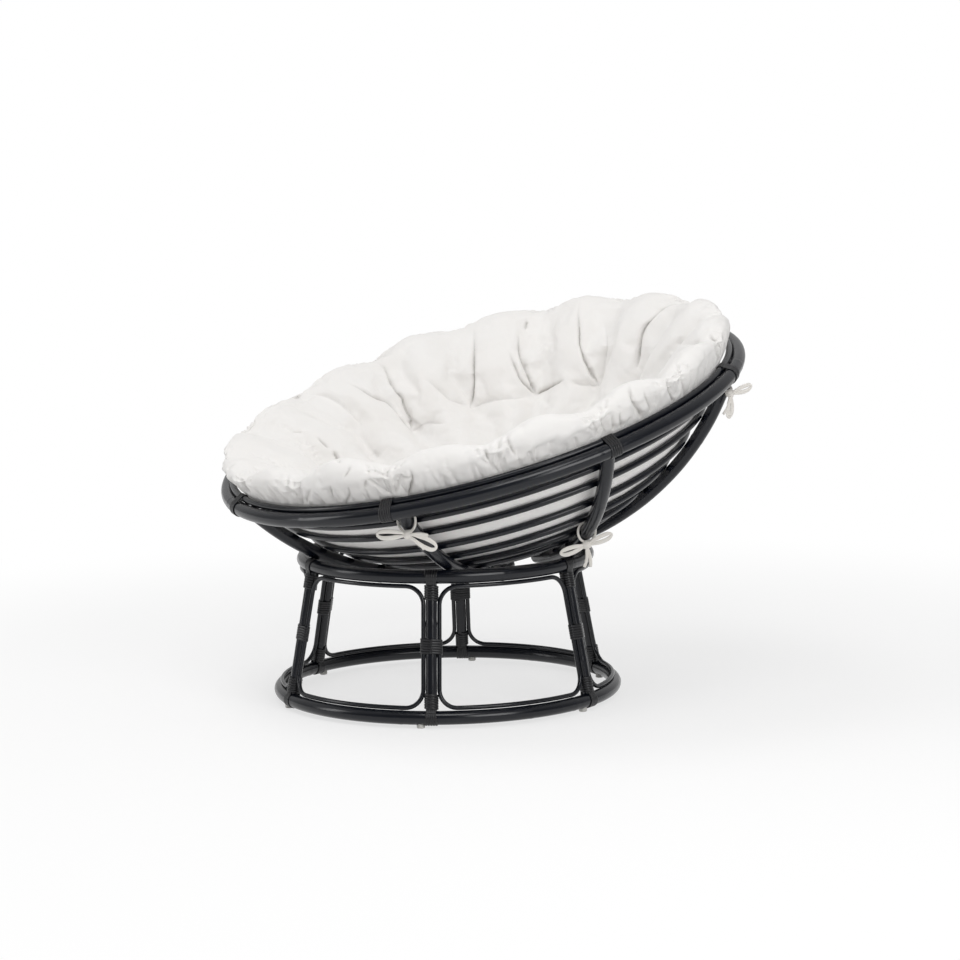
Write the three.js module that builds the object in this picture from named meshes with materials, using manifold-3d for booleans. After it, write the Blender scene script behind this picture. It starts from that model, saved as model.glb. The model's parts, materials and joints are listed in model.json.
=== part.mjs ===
// A papasan chair: a round tufted cushion tied into a shallow bowl of black-stained rattan poles.
// The bowl lies loose in the top ring of a six-legged stand and tilts in it like a ball in a cup.
// Millimetres, +Z up. The sitter faces -Y. The origin is on the floor under the middle of the chair.
// Azimuths are in degrees from +X towards +Y. A pole's or rod's size is given as its radius.
import * as THREE from "three";
import { mergeVertices } from "three/addons/utils/BufferGeometryUtils.js";
import Module from "manifold-3d";

// The gap that pieces which touch keep between them
const clearance = 0.3;

// The stand: two rings of pole joined by legs that lean inwards
const legCount = 6;
const firstLegAzimuth = -97.85;
const legPole = 10.5;
const floorRingRadius = 330;
const floorRingPole = 13;
const seatRingRadius = 279.6;
const seatRingPole = 13;
const seatRingRise = 257.2;
const glideThickness = 6;
const glideRadius = 7.8;
const glideChamfer = 1.5;
const glideCollar = 3;
const glideShift = 20;

// The thin rod bent round each window between two legs
const windowRod = 4.2;
const windowCorner = 34;

// The lashings of rattan peel on every leg
const strandWidth = 4.2;
const strandThickness = 2;
const strandPitch = 4.7;
const waistTurns = 5;
const waistHeight = 130;
const topSleeveLength = 24;
const footSleeveLength = 28;
const strapHalfWidth = 10.5;
// A strand stands this much further out, as its flats cut across the round pole
const facetRoom = 0.6;

// The bowl: a rim, ribs on a sphere that meet it from underneath, and hoops inside the ribs.
// A foot, hub or hoop lies at a share of the angle from the bowl's axis to its rim.
const bowlTilt = 17.3;
const rimRadius = 520.6;
const rimDepth = 302.2;
const rimPole = 14.1;
const rimStandOff = 7.15;
const innerRimPole = 6.5;
const innerRimAngle = 132;
const ribCount = 8;
const firstRibAzimuth = -97;
const ribPole = 13.2;
const ribFootShare = 0.1236;
const hoopPole = 6.5;
const hubShare = 0.1587;
const hoopShares = [0.2756, 0.3875, 0.4978, 0.608, 0.7116, 0.8185, 0.897];

// The cushion: the numbers of the hoops that its underside rests on, then its section by the
// distance inside the rim and the height over or the depth under the rim's plane
const cushionHoops = [1, 4, 7];
const rollRadius = 45;
const rollInset = 55.6;
const rollAxisUp = 50;
const rollFrom = -42;
const rollTo = 122;
const seatThickness = 98;
const seatCrown = 0.75;
const tuftInset = 182.6;
const tuftRingDrop = 60;
const tuftCount = 16;
const firstTuftAzimuth = -75.5;
const tuftDepth = 27;
const rollChannelDepth = 11;
const seatChannelDepth = 7;

// The cotton ties that hold the cushion to three ribs: where each knot lies and how far it is turned
// round the rib to the left, how steeply its band rises behind the rib, how far its left and right
// loop droop, how long and how open they are, and how its two tails turn from straight down to the right
const tieCord = 3;
const tieKnot = 9;
const ties = [
  {
    rib: 2, share: 0.922, turn: 0, rise: 35, tailTurns: [45, 82],
    droops: [-10, 30], reaches: [1.06, 1.14], opens: [0.6, 0.76],
  },
  {
    rib: 3, share: 0.5496, turn: 23, rise: 30, tailTurns: [-20, -4],
    droops: [0, -12], reaches: [0.97, 0.95], opens: [0.52, 0.52],
  },
  {
    rib: 4, share: 0.9404, turn: 40, rise: 10, tailTurns: [-34, -12],
    droops: [75, -8], reaches: [0.85, 0.85], opens: [0.52, 0.52],
  },
];

// A tie's loop and its loose tail, both from inside the knot.
// The points are across the rib, upright and outwards, from the middle of the knot.
const loopRoute = [
  [4, 3, 3],
  [15, 7.5, 6],
  [29, 10.5, 8],
  [42, 10, 9],
  [50, 6.5, 9],
  [53.5, -0.5, 9],
  [50, -7.5, 8],
  [42, -11, 8],
  [29, -10, 7],
  [15, -6, 5],
  [4, -3, 3],
];
const tailRoute = [
  [0, -3, 4],
  [1, -13, 7],
  [2, -23, 8],
  [1, -33, 8],
  [-1, -42, 8],
];

// How finely the round forms are cut into flats
const poleSides = 8;
const rodSides = 6;
const standSegments = 36;
const rimSegments = 40;
const hoopSegments = 32;
const smallHoopSegments = 24;
const smallHoopAngle = 30;
const windowCornerSteps = 3;
const windowRunSteps = 4;
const rollSteps = 5;
const seatSteps = 8;
const cushionColumns = 64;
const waistSteps = 10;

// Heights and places that follow from the sizes above
const radians = THREE.MathUtils.degToRad;
const floorRingHeight = glideThickness + floorRingPole;
const seatRingHeight = floorRingHeight + seatRingRise;
const rimSphere = Math.hypot(rimRadius, rimDepth);
const rimAngle = THREE.MathUtils.radToDeg(Math.atan2(rimRadius, rimDepth));
const ribSphere = rimSphere - rimStandOff;
const hoopAngles = hoopShares.map((share) => share * rimAngle);
const ribOuterSphere = ribSphere + ribPole;
const bowlContact = ribOuterSphere + clearance + seatRingPole;
const bowlCentreHeight = seatRingHeight + Math.sqrt(bowlContact ** 2 - seatRingRadius ** 2);
const bowlDirection = THREE.MathUtils.radToDeg(Math.acos(-seatRingRadius / bowlContact));
const hoopSphere = ribSphere - ribPole - clearance - hoopPole;
const cushionSphere = hoopSphere - hoopPole - clearance;
const rollAxisOut = rimRadius - rollInset;
const tuftRingOut = rimRadius - tuftInset;
const legLean = Math.atan2(floorRingRadius - seatRingRadius, seatRingRise);

const wasm = await Module();
wasm.setup();

const stain = { color: 0x17171a, roughness: 0.42, metalness: 0 };
const peel = { color: 0x1f1e20, roughness: 0.55, metalness: 0 };
const canvas = { color: 0xf1ede6, roughness: 0.95, metalness: 0 };
const nylon = { color: 0xcfccc4, roughness: 0.5, metalness: 0 };

function piece(name, geometry, finish) {
  const mesh = new THREE.Mesh(geometry, new THREE.MeshStandardMaterial(finish));
  mesh.name = name;
  return mesh;
}

// A closed geometry as a solid that can be joined and cut
function solidOf(geometry) {
  const bare = geometry.index ? geometry.toNonIndexed() : geometry.clone();
  bare.deleteAttribute("normal");
  bare.deleteAttribute("uv");
  const merged = mergeVertices(bare, 1e-3);
  return new wasm.Manifold(
    new wasm.Mesh({
      numProp: 3,
      vertProperties: merged.attributes.position.array,
      triVerts: new Uint32Array(merged.index.array),
    }),
  );
}

function geometryOf(solid) {
  const mesh = solid.getMesh();
  const geometry = new THREE.BufferGeometry();
  geometry.setAttribute("position", new THREE.BufferAttribute(mesh.vertProperties, 3));
  geometry.setIndex(new THREE.BufferAttribute(mesh.triVerts, 1));
  return geometry;
}

// A curve through stations, each used as it is given, so that a tube has its rings where they help
class Route extends THREE.Curve {
  constructor(stations, closed = false) {
    super();
    this.stations = stations;
    this.closed = closed;
    this.spans = closed ? stations.length : stations.length - 1;
  }
  station(index) {
    const count = this.stations.length;
    return this.stations[this.closed ? (index + count) % count : Math.min(Math.max(index, 0), count - 1)];
  }
  getPoint(t) {
    const along = t * this.spans;
    const before = Math.min(Math.floor(along + 1e-6), this.spans - 1);
    return this.station(before).clone().lerp(this.station(before + 1), along - before);
  }
  getTangent(t) {
    const nearest = Math.round(t * this.spans);
    return this.station(nearest + 1).clone().sub(this.station(nearest - 1)).normalize();
  }
  getPointAt(u) {
    return this.getPoint(u);
  }
  getTangentAt(u) {
    return this.getTangent(u);
  }
}

function roundSection(radius, sides) {
  const corners = [];
  for (let i = 0; i < sides; i++) {
    const turn = (i / sides) * 2 * Math.PI;
    corners.push(new THREE.Vector2(radius * Math.cos(turn), radius * Math.sin(turn)));
  }
  return new THREE.Shape(corners);
}

function poleAlong(stations, radius, sides) {
  const path = new Route(stations);
  return new THREE.ExtrudeGeometry(roundSection(radius, sides), { extrudePath: path, steps: path.spans });
}

function closedRod(stations, radius, sides) {
  const path = new Route(stations, true);
  return new THREE.TubeGeometry(path, path.spans, radius, sides, true);
}

// A level ring of pole. Its straight stretches start at an azimuth, and a corner of its section
// faces a direction, measured from straight outwards towards straight up.
function ringAt({ radius, pole, sides, segments, height, azimuth, facing = 0 }) {
  const profile = [];
  for (let i = 0; i <= sides; i++) {
    const turn = radians(facing) + ((i % sides) / sides) * 2 * Math.PI;
    profile.push(new THREE.Vector2(radius + pole * Math.cos(turn), pole * Math.sin(turn)));
  }
  const geometry = new THREE.LatheGeometry(profile, segments);
  geometry.rotateX(Math.PI / 2);
  geometry.rotateZ(radians(azimuth - 90));
  geometry.translate(0, 0, height);
  return geometry;
}

// A closed surface over rings of points, with a flat or pointed end at each end of the row
function skin(rings) {
  const sides = rings[0].length;
  const positions = rings.flat().flatMap((point) => point.toArray());
  const indices = [];
  for (let ring = 0; ring + 1 < rings.length; ring++) {
    for (let i = 0; i < sides; i++) {
      const a = ring * sides + i;
      const b = ring * sides + ((i + 1) % sides);
      indices.push(a, b, b + sides, a, b + sides, a + sides);
    }
  }
  for (const [ring, outwards] of [[0, false], [rings.length - 1, true]]) {
    const middle = positions.length / 3;
    const centre = new THREE.Vector3();
    rings[ring].forEach((point) => centre.addScaledVector(point, 1 / sides));
    positions.push(...centre.toArray());
    for (let i = 0; i < sides; i++) {
      const a = ring * sides + i;
      const b = ring * sides + ((i + 1) % sides);
      indices.push(...(outwards ? [a, b, middle] : [b, a, middle]));
    }
  }
  const geometry = new THREE.BufferGeometry();
  geometry.setAttribute("position", new THREE.Float32BufferAttribute(positions, 3));
  geometry.setIndex(indices);
  return geometry;
}

// The frame of a leg: its two ends, its direction up and the direction along the rings
function legFrame(azimuth) {
  const turn = radians(azimuth);
  const outwards = new THREE.Vector3(Math.cos(turn), Math.sin(turn), 0);
  const foot = outwards.clone().multiplyScalar(floorRingRadius).setZ(floorRingHeight);
  const head = outwards.clone().multiplyScalar(seatRingRadius).setZ(seatRingHeight);
  const up = head.clone().sub(foot).normalize();
  const across = new THREE.Vector3(-Math.sin(turn), Math.cos(turn), 0);
  const face = across.clone().cross(up);
  return { foot, head, up, across, face, outwards };
}

function cylinderBetween(from, to, radius, sides) {
  const axis = to.clone().sub(from);
  const geometry = new THREE.CylinderGeometry(radius, radius, axis.length(), sides);
  const turn = new THREE.Quaternion().setFromUnitVectors(new THREE.Vector3(0, 1, 0), axis.normalize());
  geometry.applyQuaternion(turn);
  geometry.translate(...from.clone().add(to).multiplyScalar(0.5).toArray());
  return geometry;
}

// A ring of the stand, turned and grown so that the middle of a flat lies on its circle at each leg
function standRing(radius, pole, height, facing) {
  return ringAt({
    radius: radius / Math.cos(Math.PI / standSegments),
    pole,
    sides: poleSides,
    segments: standSegments,
    height,
    azimuth: firstLegAzimuth + 180 / standSegments,
    facing,
  });
}

function floorRing(pole) {
  return standRing(floorRingRadius, pole, floorRingHeight, 0);
}

// A corner of the seat ring's section faces the middle of the bowl, which rests on it
function seatRing(pole) {
  return standRing(seatRingRadius, pole, seatRingHeight, bowlDirection);
}

const floorRingSeat = solidOf(floorRing(floorRingPole + clearance));
const seatRingSeat = solidOf(seatRing(seatRingPole + clearance));
const floorRingWrap = solidOf(floorRing(floorRingPole + clearance + strandThickness));
const seatRingWrap = solidOf(seatRing(seatRingPole + clearance + strandThickness));

// A leg, its ends hollowed to sit on the two rings
function leg(frame) {
  const bar = solidOf(cylinderBetween(frame.foot, frame.head, legPole, poleSides));
  return geometryOf(bar.subtract(floorRingSeat).subtract(seatRingSeat));
}

// A glide nailed under the floor ring, hollowed on top to sit against the pole
function glide(azimuth) {
  const top = glideThickness + glideCollar;
  const profile = [
    new THREE.Vector2(0, 0),
    new THREE.Vector2(glideRadius - glideChamfer, 0),
    new THREE.Vector2(glideRadius, glideChamfer),
    new THREE.Vector2(glideRadius, top),
    new THREE.Vector2(0, top),
  ];
  const geometry = new THREE.LatheGeometry(profile, poleSides);
  geometry.rotateX(Math.PI / 2);
  const turn = radians(azimuth) - glideShift / floorRingRadius;
  geometry.translate(floorRingRadius * Math.cos(turn), floorRingRadius * Math.sin(turn), 0);
  return geometryOf(solidOf(geometry).subtract(floorRingSeat));
}

// The rod of one window: a rounded rectangle laid on the cone through the legs
function windowLoop(middleAzimuth) {
  const bottom = floorRingHeight + floorRingPole + clearance + windowRod;
  const top = seatRingHeight - seatRingPole - clearance - windowRod;
  const radiusAt = (z) => floorRingRadius - (z - floorRingHeight) * Math.tan(legLean);
  const sideGap = legPole + clearance + windowRod;
  const halfWidthAt = (z) => (radiusAt(z) * Math.PI) / legCount - sideGap;
  const stations = [];
  const corners = [
    { side: 1, z: bottom + windowCorner },
    { side: 1, z: top - windowCorner },
    { side: -1, z: top - windowCorner },
    { side: -1, z: bottom + windowCorner },
  ];
  const quarter = 2 * Math.PI / corners.length;
  const place = (along, z) => {
    const turn = radians(middleAzimuth) + along / radiusAt(z);
    return new THREE.Vector3(radiusAt(z) * Math.cos(turn), radiusAt(z) * Math.sin(turn), z);
  };
  corners.forEach(({ side, z }, index) => {
    for (let i = 0; i <= windowCornerSteps; i++) {
      const turn = quarter * (index - 1 + i / windowCornerSteps);
      const height = z + windowCorner * Math.sin(turn);
      stations.push(place(side * (halfWidthAt(height) - windowCorner) + windowCorner * Math.cos(turn), height));
    }
    const next = corners[(index + 1) % corners.length];
    if (next.side === side) return;
    const level = index === 1 ? top : bottom;
    const reach = halfWidthAt(level) - windowCorner;
    for (let i = 1; i < windowRunSteps; i++) {
      stations.push(place(side * reach * (1 - (2 * i) / windowRunSteps), level));
    }
  });
  return closedRod(stations, windowRod, rodSides);
}

// The outline round a leg and the rods on both sides of it, grown by a distance, at an angle
function waistOutline(angle, grown) {
  const rodOut = legPole + clearance + windowRod;
  const circles = [
    { middle: -rodOut, radius: windowRod + grown },
    { middle: 0, radius: legPole + grown },
    { middle: rodOut, radius: windowRod + grown },
  ];
  const reach = ({ middle, radius }) => middle * Math.cos(angle) + radius;
  const widest = circles.reduce((best, circle) => (reach(circle) > reach(best) ? circle : best));
  return { across: widest.middle + widest.radius * Math.cos(angle), face: widest.radius * Math.sin(angle) };
}

// The lashing at a leg's waist: one strand wound round the leg and the rods beside it
function waistLashing(frame) {
  const startsBy = 0.5;
  const rings = [];
  const middles = [];
  for (let i = 0; i <= waistTurns * waistSteps; i++) {
    const angle = ((i + startsBy) / waistSteps) * 2 * Math.PI;
    const up = waistHeight / frame.up.z + strandPitch * (i / waistSteps - waistTurns / 2);
    const corner = (thickness, width) => {
      const { across, face } = waistOutline(angle, clearance + facetRoom + thickness);
      return frame.foot
        .clone()
        .addScaledVector(frame.up, up + width)
        .addScaledVector(frame.across, across)
        .addScaledVector(frame.face, face);
    };
    const half = strandWidth / 2;
    rings.push([corner(0, -half), corner(strandThickness, -half), corner(strandThickness, half), corner(0, half)]);
    middles.push(corner(strandThickness / 2, 0));
  }
  return { geometry: skin(rings), gap: leastTurnGap(middles) };
}

// The least distance between neighbouring turns of a winding, less the strand's own width
function leastTurnGap(middles) {
  let least = Infinity;
  for (let i = 0; i < middles.length; i++) {
    for (let j = i + Math.round(waistSteps / 2); j < middles.length; j++) {
      least = Math.min(least, middles[i].distanceTo(middles[j]) - strandWidth);
    }
  }
  return least;
}

// A lashing where a leg meets a ring: turns round the leg as a sleeve, and straps round the ring
function endLashing(frame, end, inwards, ringPole, ringWrap, ringSeat, sleeveLength) {
  const sleeveEnd = end.clone().addScaledVector(inwards, ringPole + sleeveLength);
  const outer = legPole + clearance + strandThickness;
  const sleeve = solidOf(cylinderBetween(end, sleeveEnd, outer, poleSides));
  const legSeat = solidOf(cylinderBetween(frame.foot, frame.head, legPole + clearance, poleSides));
  const reach = 2 * (ringPole + strandThickness + 2 * clearance);
  const slab = new THREE.BoxGeometry(2 * strapHalfWidth, reach, reach);
  const lay = new THREE.Matrix4().makeBasis(frame.across, frame.up, frame.face);
  slab.applyMatrix4(lay);
  slab.translate(...end.toArray());
  const strap = ringWrap.intersect(solidOf(slab));
  return strap.add(sleeve).subtract(ringSeat).subtract(legSeat);
}

// The top lashing is pressed flat where the bowl's ribs ride over the seat ring
function topLashing(frame) {
  const down = frame.up.clone().negate();
  const lashing = endLashing(
    frame, frame.head, down, seatRingPole, seatRingWrap, seatRingSeat, topSleeveLength,
  );
  const centre = new THREE.Vector3(0, 0, bowlCentreHeight);
  const towardsBowl = centre.sub(frame.head).normalize();
  const reach = seatRingPole + strandThickness + clearance;
  const flatAt = seatRingPole - clearance;
  const block = new THREE.BoxGeometry(2 * (strapHalfWidth + reach), 2 * reach, reach);
  block.translate(0, 0, flatAt + reach / 2);
  const turn = new THREE.Matrix4().makeBasis(
    frame.across,
    towardsBowl.clone().cross(frame.across),
    towardsBowl,
  );
  block.applyMatrix4(turn);
  block.translate(...frame.head.toArray());
  return geometryOf(lashing.subtract(solidOf(block)));
}

function footLashing(frame) {
  const lashing = endLashing(
    frame, frame.foot, frame.up, floorRingPole, floorRingWrap, floorRingSeat, footSleeveLength,
  );
  return geometryOf(lashing);
}

function buildStand() {
  const stand = new THREE.Group();
  stand.add(piece("floor_ring", floorRing(floorRingPole), stain));
  stand.add(piece("seat_ring", seatRing(seatRingPole), stain));
  for (let i = 0; i < legCount; i++) {
    const number = i + 1;
    const azimuth = firstLegAzimuth + (360 * i) / legCount;
    const frame = legFrame(azimuth);
    const waist = waistLashing(frame);
    stand.add(piece("leg_" + number, leg(frame), stain));
    stand.add(piece("window_rod_" + number, windowLoop(azimuth + 180 / legCount), stain));
    stand.add(piece("top_lashing_" + number, topLashing(frame), peel));
    stand.add(piece("waist_lashing_" + number, waist.geometry, peel));
    stand.add(piece("foot_lashing_" + number, footLashing(frame), peel));
    stand.add(piece("glide_" + number, glide(azimuth), nylon));
    if (i === 0) console.log("least gap between turns of a waist lashing, mm:", waist.gap.toFixed(2));
  }
  return stand;
}

// A place in the bowl, from its sphere's centre: the angle is from straight down the bowl's axis
function bowlPoint(sphere, angle, azimuth) {
  const out = sphere * Math.sin(radians(angle));
  const turn = radians(azimuth);
  return new THREE.Vector3(out * Math.cos(turn), out * Math.sin(turn), -sphere * Math.cos(radians(angle)));
}

// The angle at which a rib's flat end butts against the underside of the rim
function ribHeadAngle() {
  return rimAngle - THREE.MathUtils.radToDeg((rimPole + clearance) / rimSphere);
}

// A rib has a station at each hoop that it crosses
function rib() {
  const angles = [ribFootShare * rimAngle, hubShare * rimAngle, ...hoopAngles, ribHeadAngle()];
  return poleAlong(angles.map((angle) => bowlPoint(ribSphere, angle, 0)), ribPole, poleSides);
}

function segmentsOfHoop(angle) {
  return angle < smallHoopAngle ? smallHoopSegments : hoopSegments;
}

function hoop(angle) {
  return ringAt({
    radius: hoopSphere * Math.sin(radians(angle)),
    pole: hoopPole,
    sides: rodSides,
    segments: segmentsOfHoop(angle),
    height: -hoopSphere * Math.cos(radians(angle)),
    azimuth: firstRibAzimuth,
    facing: angle - 90,
  });
}

function rim() {
  return ringAt({
    radius: rimRadius,
    pole: rimPole,
    sides: poleSides,
    segments: rimSegments,
    height: -rimDepth,
    azimuth: firstRibAzimuth,
  });
}

// The thin ring that lies on the inner upper side of the rim
function innerRim() {
  const reach = rimPole + clearance + innerRimPole;
  return ringAt({
    radius: rimRadius + reach * Math.cos(radians(innerRimAngle)),
    pole: innerRimPole,
    sides: rodSides,
    segments: rimSegments,
    height: reach * Math.sin(radians(innerRimAngle)) - rimDepth,
    azimuth: firstRibAzimuth,
  });
}

// How much nearer to the middle of the bowl a hoop's flats lie than its corners
function hoopDip(angle) {
  const across = hoopSphere * Math.sin(radians(angle));
  return across * Math.sin(radians(angle)) * (1 - Math.cos(Math.PI / segmentsOfHoop(angle)));
}

// The cushion's half section, as stations with a place, an outward direction and a channel's depth
function cushionSection() {
  const stations = [];
  const channelFadeSteps = 2;
  const add = (out, up, channel) => stations.push({ out, up, channel });
  for (const number of cushionHoops) {
    const degrees = hoopAngles[number - 1];
    const angle = radians(degrees);
    const sphere = cushionSphere - hoopDip(degrees);
    add(sphere * Math.sin(angle), rimDepth - sphere * Math.cos(angle), 0);
  }
  for (let i = 0; i <= rollSteps; i++) {
    const angle = radians(THREE.MathUtils.lerp(rollFrom, rollTo, i / rollSteps));
    add(
      rollAxisOut + rollRadius * Math.cos(angle),
      rollAxisUp + rollRadius * Math.sin(angle),
      rollChannelDepth * Math.min(1, i / channelFadeSteps),
    );
  }
  const last = stations[stations.length - 1];
  const seatUp = rimDepth - cushionSphere + seatThickness;
  const inside = new THREE.SplineCurve([
    new THREE.Vector2(last.out, last.up),
    new THREE.Vector2((last.out + tuftRingOut) / 2, (last.up - tuftRingDrop) / 2),
    new THREE.Vector2(tuftRingOut, -tuftRingDrop),
    new THREE.Vector2(tuftRingOut / 2, THREE.MathUtils.lerp(-tuftRingDrop, seatUp, seatCrown)),
    new THREE.Vector2(0, seatUp),
  ]);
  const tuftAt = seatSteps / 2;
  for (let i = 1; i < seatSteps; i++) {
    const { x, y } = inside.getPoint(i / seatSteps);
    const towardsTuft = 1 - Math.abs(i - tuftAt) / tuftAt;
    const outside = i < tuftAt ? rollChannelDepth : seatChannelDepth;
    add(x, y, THREE.MathUtils.lerp(outside, tuftDepth, towardsTuft));
  }
  return stations;
}

// The cushion: a domed underside, a puffed edge rolled over the rim, and channels that meet at tufts
function cushion() {
  const section = cushionSection();
  const rings = section.map((station, index) => {
    const before = section[Math.max(index - 1, 0)];
    const after = section[Math.min(index + 1, section.length - 1)];
    const along = new THREE.Vector2(after.out - before.out, after.up - before.up).normalize();
    const ring = [];
    for (let i = 0; i < cushionColumns; i++) {
      const azimuth = firstTuftAzimuth + (360 * i) / cushionColumns;
      const lobe = Math.abs(Math.sin((radians(azimuth - firstTuftAzimuth) * tuftCount) / 2));
      const sunk = station.channel * (1 - Math.sqrt(lobe));
      const out = station.out - sunk * along.y;
      const turn = radians(azimuth);
      const up = station.up + sunk * along.x - rimDepth;
      ring.push(new THREE.Vector3(out * Math.cos(turn), out * Math.sin(turn), up));
    }
    return ring;
  });
  return skin(rings);
}

// How far the rib under a knot leans from upright, with the bowl at rest
function ribLean(angle, azimuth) {
  const tilt = new THREE.Vector3(1, 0, 0);
  const place = bowlPoint(1, angle, azimuth).applyAxisAngle(tilt, radians(bowlTilt));
  return Math.PI / 2 - place.angleTo(new THREE.Vector3(0, 0, -1));
}

// A tie: a band round the rib, a knot on its outer side, two loops and two tails.
// Seen from outside the bowl, side 1 is the left of the rib and side -1 its right.
function tieBow({ share, turn, rise, droops, reaches, opens, tailTurns }, azimuth) {
  const angle = share * rimAngle;
  const slope = Math.tan(radians(rise));
  const bandReach = ribPole + clearance + tieCord;
  const ribBend = (2 * slope * bandReach) ** 2 / ribSphere;
  const bandRadius = (bandReach + ribBend) / Math.cos(Math.PI / poleSides);
  const band = new THREE.TorusGeometry(bandRadius, tieCord, rodSides, poleSides);
  const rising = new THREE.Matrix4().makeShear(0, 0, 0, -slope, 0, 0);
  band.applyMatrix4(rising);
  band.translate(0, 0, slope * bandRadius);
  band.rotateZ(-radians(turn));
  const knot = new THREE.SphereGeometry(tieKnot, poleSides, poleSides / 2);
  const knotOut = ribPole + clearance + tieKnot;
  const knotPlace = new THREE.Vector3(knotOut * Math.sin(radians(turn)), knotOut * Math.cos(radians(turn)), 0);
  knot.rotateX(Math.PI / 2);
  knot.translate(...knotPlace.toArray());
  const upright = new THREE.Matrix4().makeTranslation(...knotPlace.toArray());
  upright.multiply(new THREE.Matrix4().makeRotationX(ribLean(angle, azimuth)));
  upright.multiply(new THREE.Matrix4().makeRotationZ(-radians(turn)));
  const strand = (route, side, droop, reach = 1, open = 1) => {
    const lay = upright.clone();
    lay.multiply(new THREE.Matrix4().makeRotationY(radians(side * droop)));
    const stations = route.map(([across, up, out]) => new THREE.Vector3(side * reach * across, out, open * up));
    stations.forEach((station) => station.applyMatrix4(lay));
    return solidOf(poleAlong(stations, tieCord, poleSides));
  };
  const bow = solidOf(band)
    .add(solidOf(knot))
    .add(strand(loopRoute, 1, droops[0], reaches[0], opens[0]))
    .add(strand(loopRoute, -1, droops[1], reaches[1], opens[1]))
    .add(strand(tailRoute, -1, -tailTurns[0]))
    .add(strand(tailRoute, -1, -tailTurns[1]));
  const geometry = geometryOf(bow);
  const toRib = new THREE.Matrix4().makeBasis(
    new THREE.Vector3(0, -1, 0),
    new THREE.Vector3(Math.sin(radians(angle)), 0, -Math.cos(radians(angle))),
    new THREE.Vector3(Math.cos(radians(angle)), 0, Math.sin(radians(angle))),
  );
  geometry.applyMatrix4(toRib);
  geometry.translate(...bowlPoint(ribSphere, angle, 0).toArray());
  return geometry;
}

function turned(mesh, azimuth) {
  mesh.rotation.z = radians(azimuth);
  return mesh;
}

function buildBowl() {
  const bowl = new THREE.Group();
  bowl.add(piece("rim_pole", rim(), stain));
  bowl.add(piece("inner_rim", innerRim(), stain));
  const ribAzimuth = (index) => firstRibAzimuth + (360 * index) / ribCount;
  for (let i = 0; i < ribCount; i++) {
    bowl.add(turned(piece("rib_" + (i + 1), rib(), stain), ribAzimuth(i)));
  }
  bowl.add(piece("hub_ring", hoop(hubShare * rimAngle), stain));
  hoopAngles.forEach((angle, i) => bowl.add(piece("hoop_" + (i + 1), hoop(angle), stain)));
  bowl.add(piece("cushion", cushion(), canvas));
  ties.forEach((tie, i) => {
    const azimuth = ribAzimuth(tie.rib - 1);
    bowl.add(turned(piece("tie_bow_" + (i + 1), tieBow(tie, azimuth), canvas), azimuth));
  });
  bowl.position.z = bowlCentreHeight;
  bowl.rotation.x = radians(bowlTilt);
  return bowl;
}

// The stand's axis is moved so that the origin comes under the middle of the whole chair
const chair = new THREE.Group();
const assembly = new THREE.Group();
assembly.add(buildStand(), buildBowl());
assembly.updateMatrixWorld(true);
const extent = new THREE.Box3().setFromObject(assembly, true);
const middle = extent.getCenter(new THREE.Vector3());
assembly.position.set(-middle.x, -middle.y, -extent.min.z);
chair.add(assembly);
console.log("bowl pivot, mm:", -middle.x.toFixed(2), -middle.y.toFixed(2), bowlCentreHeight.toFixed(2));

export default chair;
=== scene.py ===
# The looks of a papasan chair: a bowl of black-stained rattan poles on a round stand, lashed with peel,
# and a tufted canvas cushion tied into it with cotton tape.
# Metres, +Z up, the sitter faces -Y. Azimuths are in degrees from +X towards +Y.
# A pole's or rod's size is given as its radius.
import json
import math

import bpy
import numpy as np
from mathutils import Matrix, Vector, noise
from mathutils.bvhtree import BVHTree


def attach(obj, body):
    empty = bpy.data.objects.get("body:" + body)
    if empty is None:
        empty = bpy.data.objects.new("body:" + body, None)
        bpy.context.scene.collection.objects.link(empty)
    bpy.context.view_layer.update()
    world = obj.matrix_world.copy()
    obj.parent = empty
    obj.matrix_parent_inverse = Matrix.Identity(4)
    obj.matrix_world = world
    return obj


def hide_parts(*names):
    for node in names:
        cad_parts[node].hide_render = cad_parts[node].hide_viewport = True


# The camera, as matched to the photo
CAMERA_PLACE = (4.2732, -2.7914, 1.0379)
CAMERA_HEADING = 146.897
CAMERA_PITCH = 6.938
CAMERA_ROLL = -0.0176
CAMERA_LENS = 97.16
CAMERA_FILM = 36

# The studio's light grows from dark to bright towards a point above and behind the chair, between two
# shares of the way there
STUDIO_BRIGHT = 0.60
STUDIO_DARK = 0.18
STUDIO_TILT = 50.0
STUDIO_GRADE = (-0.2, 0.8)
# Where each lamp is, what it faces, its size and its power
LAMPS = {
    "right_box": ((3.8, -0.3, 1.8), (0, 0, 0.5), (1.9, 1.8), 51),
    "left_box": ((-1.6, -3.6, 1.5), (0, 0, 0.5), (0.9, 2.0), 25),
    "front_box": ((1.45, -1.0, 2.8), (0, 0, 0.4), (1.3, 1.0), 18),
    "overhead": ((-0.5, -0.6, 2.9), (0, 0, 0.4), (1.3, 1.1), 16),
}
FLOOR_SIZE = 60.0
FLOOR_DROP = 0.0005
FLOOR_SHADE = 0.94
# The floor's own white, which softens the shadow on it, and where the shadow has faded out
FLOOR_WHITE = 0.66
WHITE_FROM = 0.75
WHITE_TO = 2.2

# The stand
LEG_COUNT = 6
FIRST_LEG_AZIMUTH = -97.85
LEG_POLE = 0.0105
FLOOR_RING_RADIUS = 0.330
FLOOR_RING_POLE = 0.013
SEAT_RING_RADIUS = 0.2796
SEAT_RING_POLE = 0.013
SEAT_RING_RISE = 0.2572
GLIDE_THICKNESS = 0.006
GLIDE_RADIUS = 0.0078
GLIDE_CHAMFER = 0.0015
GLIDE_SHIFT = 0.020
GLIDE_SUNK = 0.003
GLIDE_CORE = 0.0005
GLIDE_SIDES = 32
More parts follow.
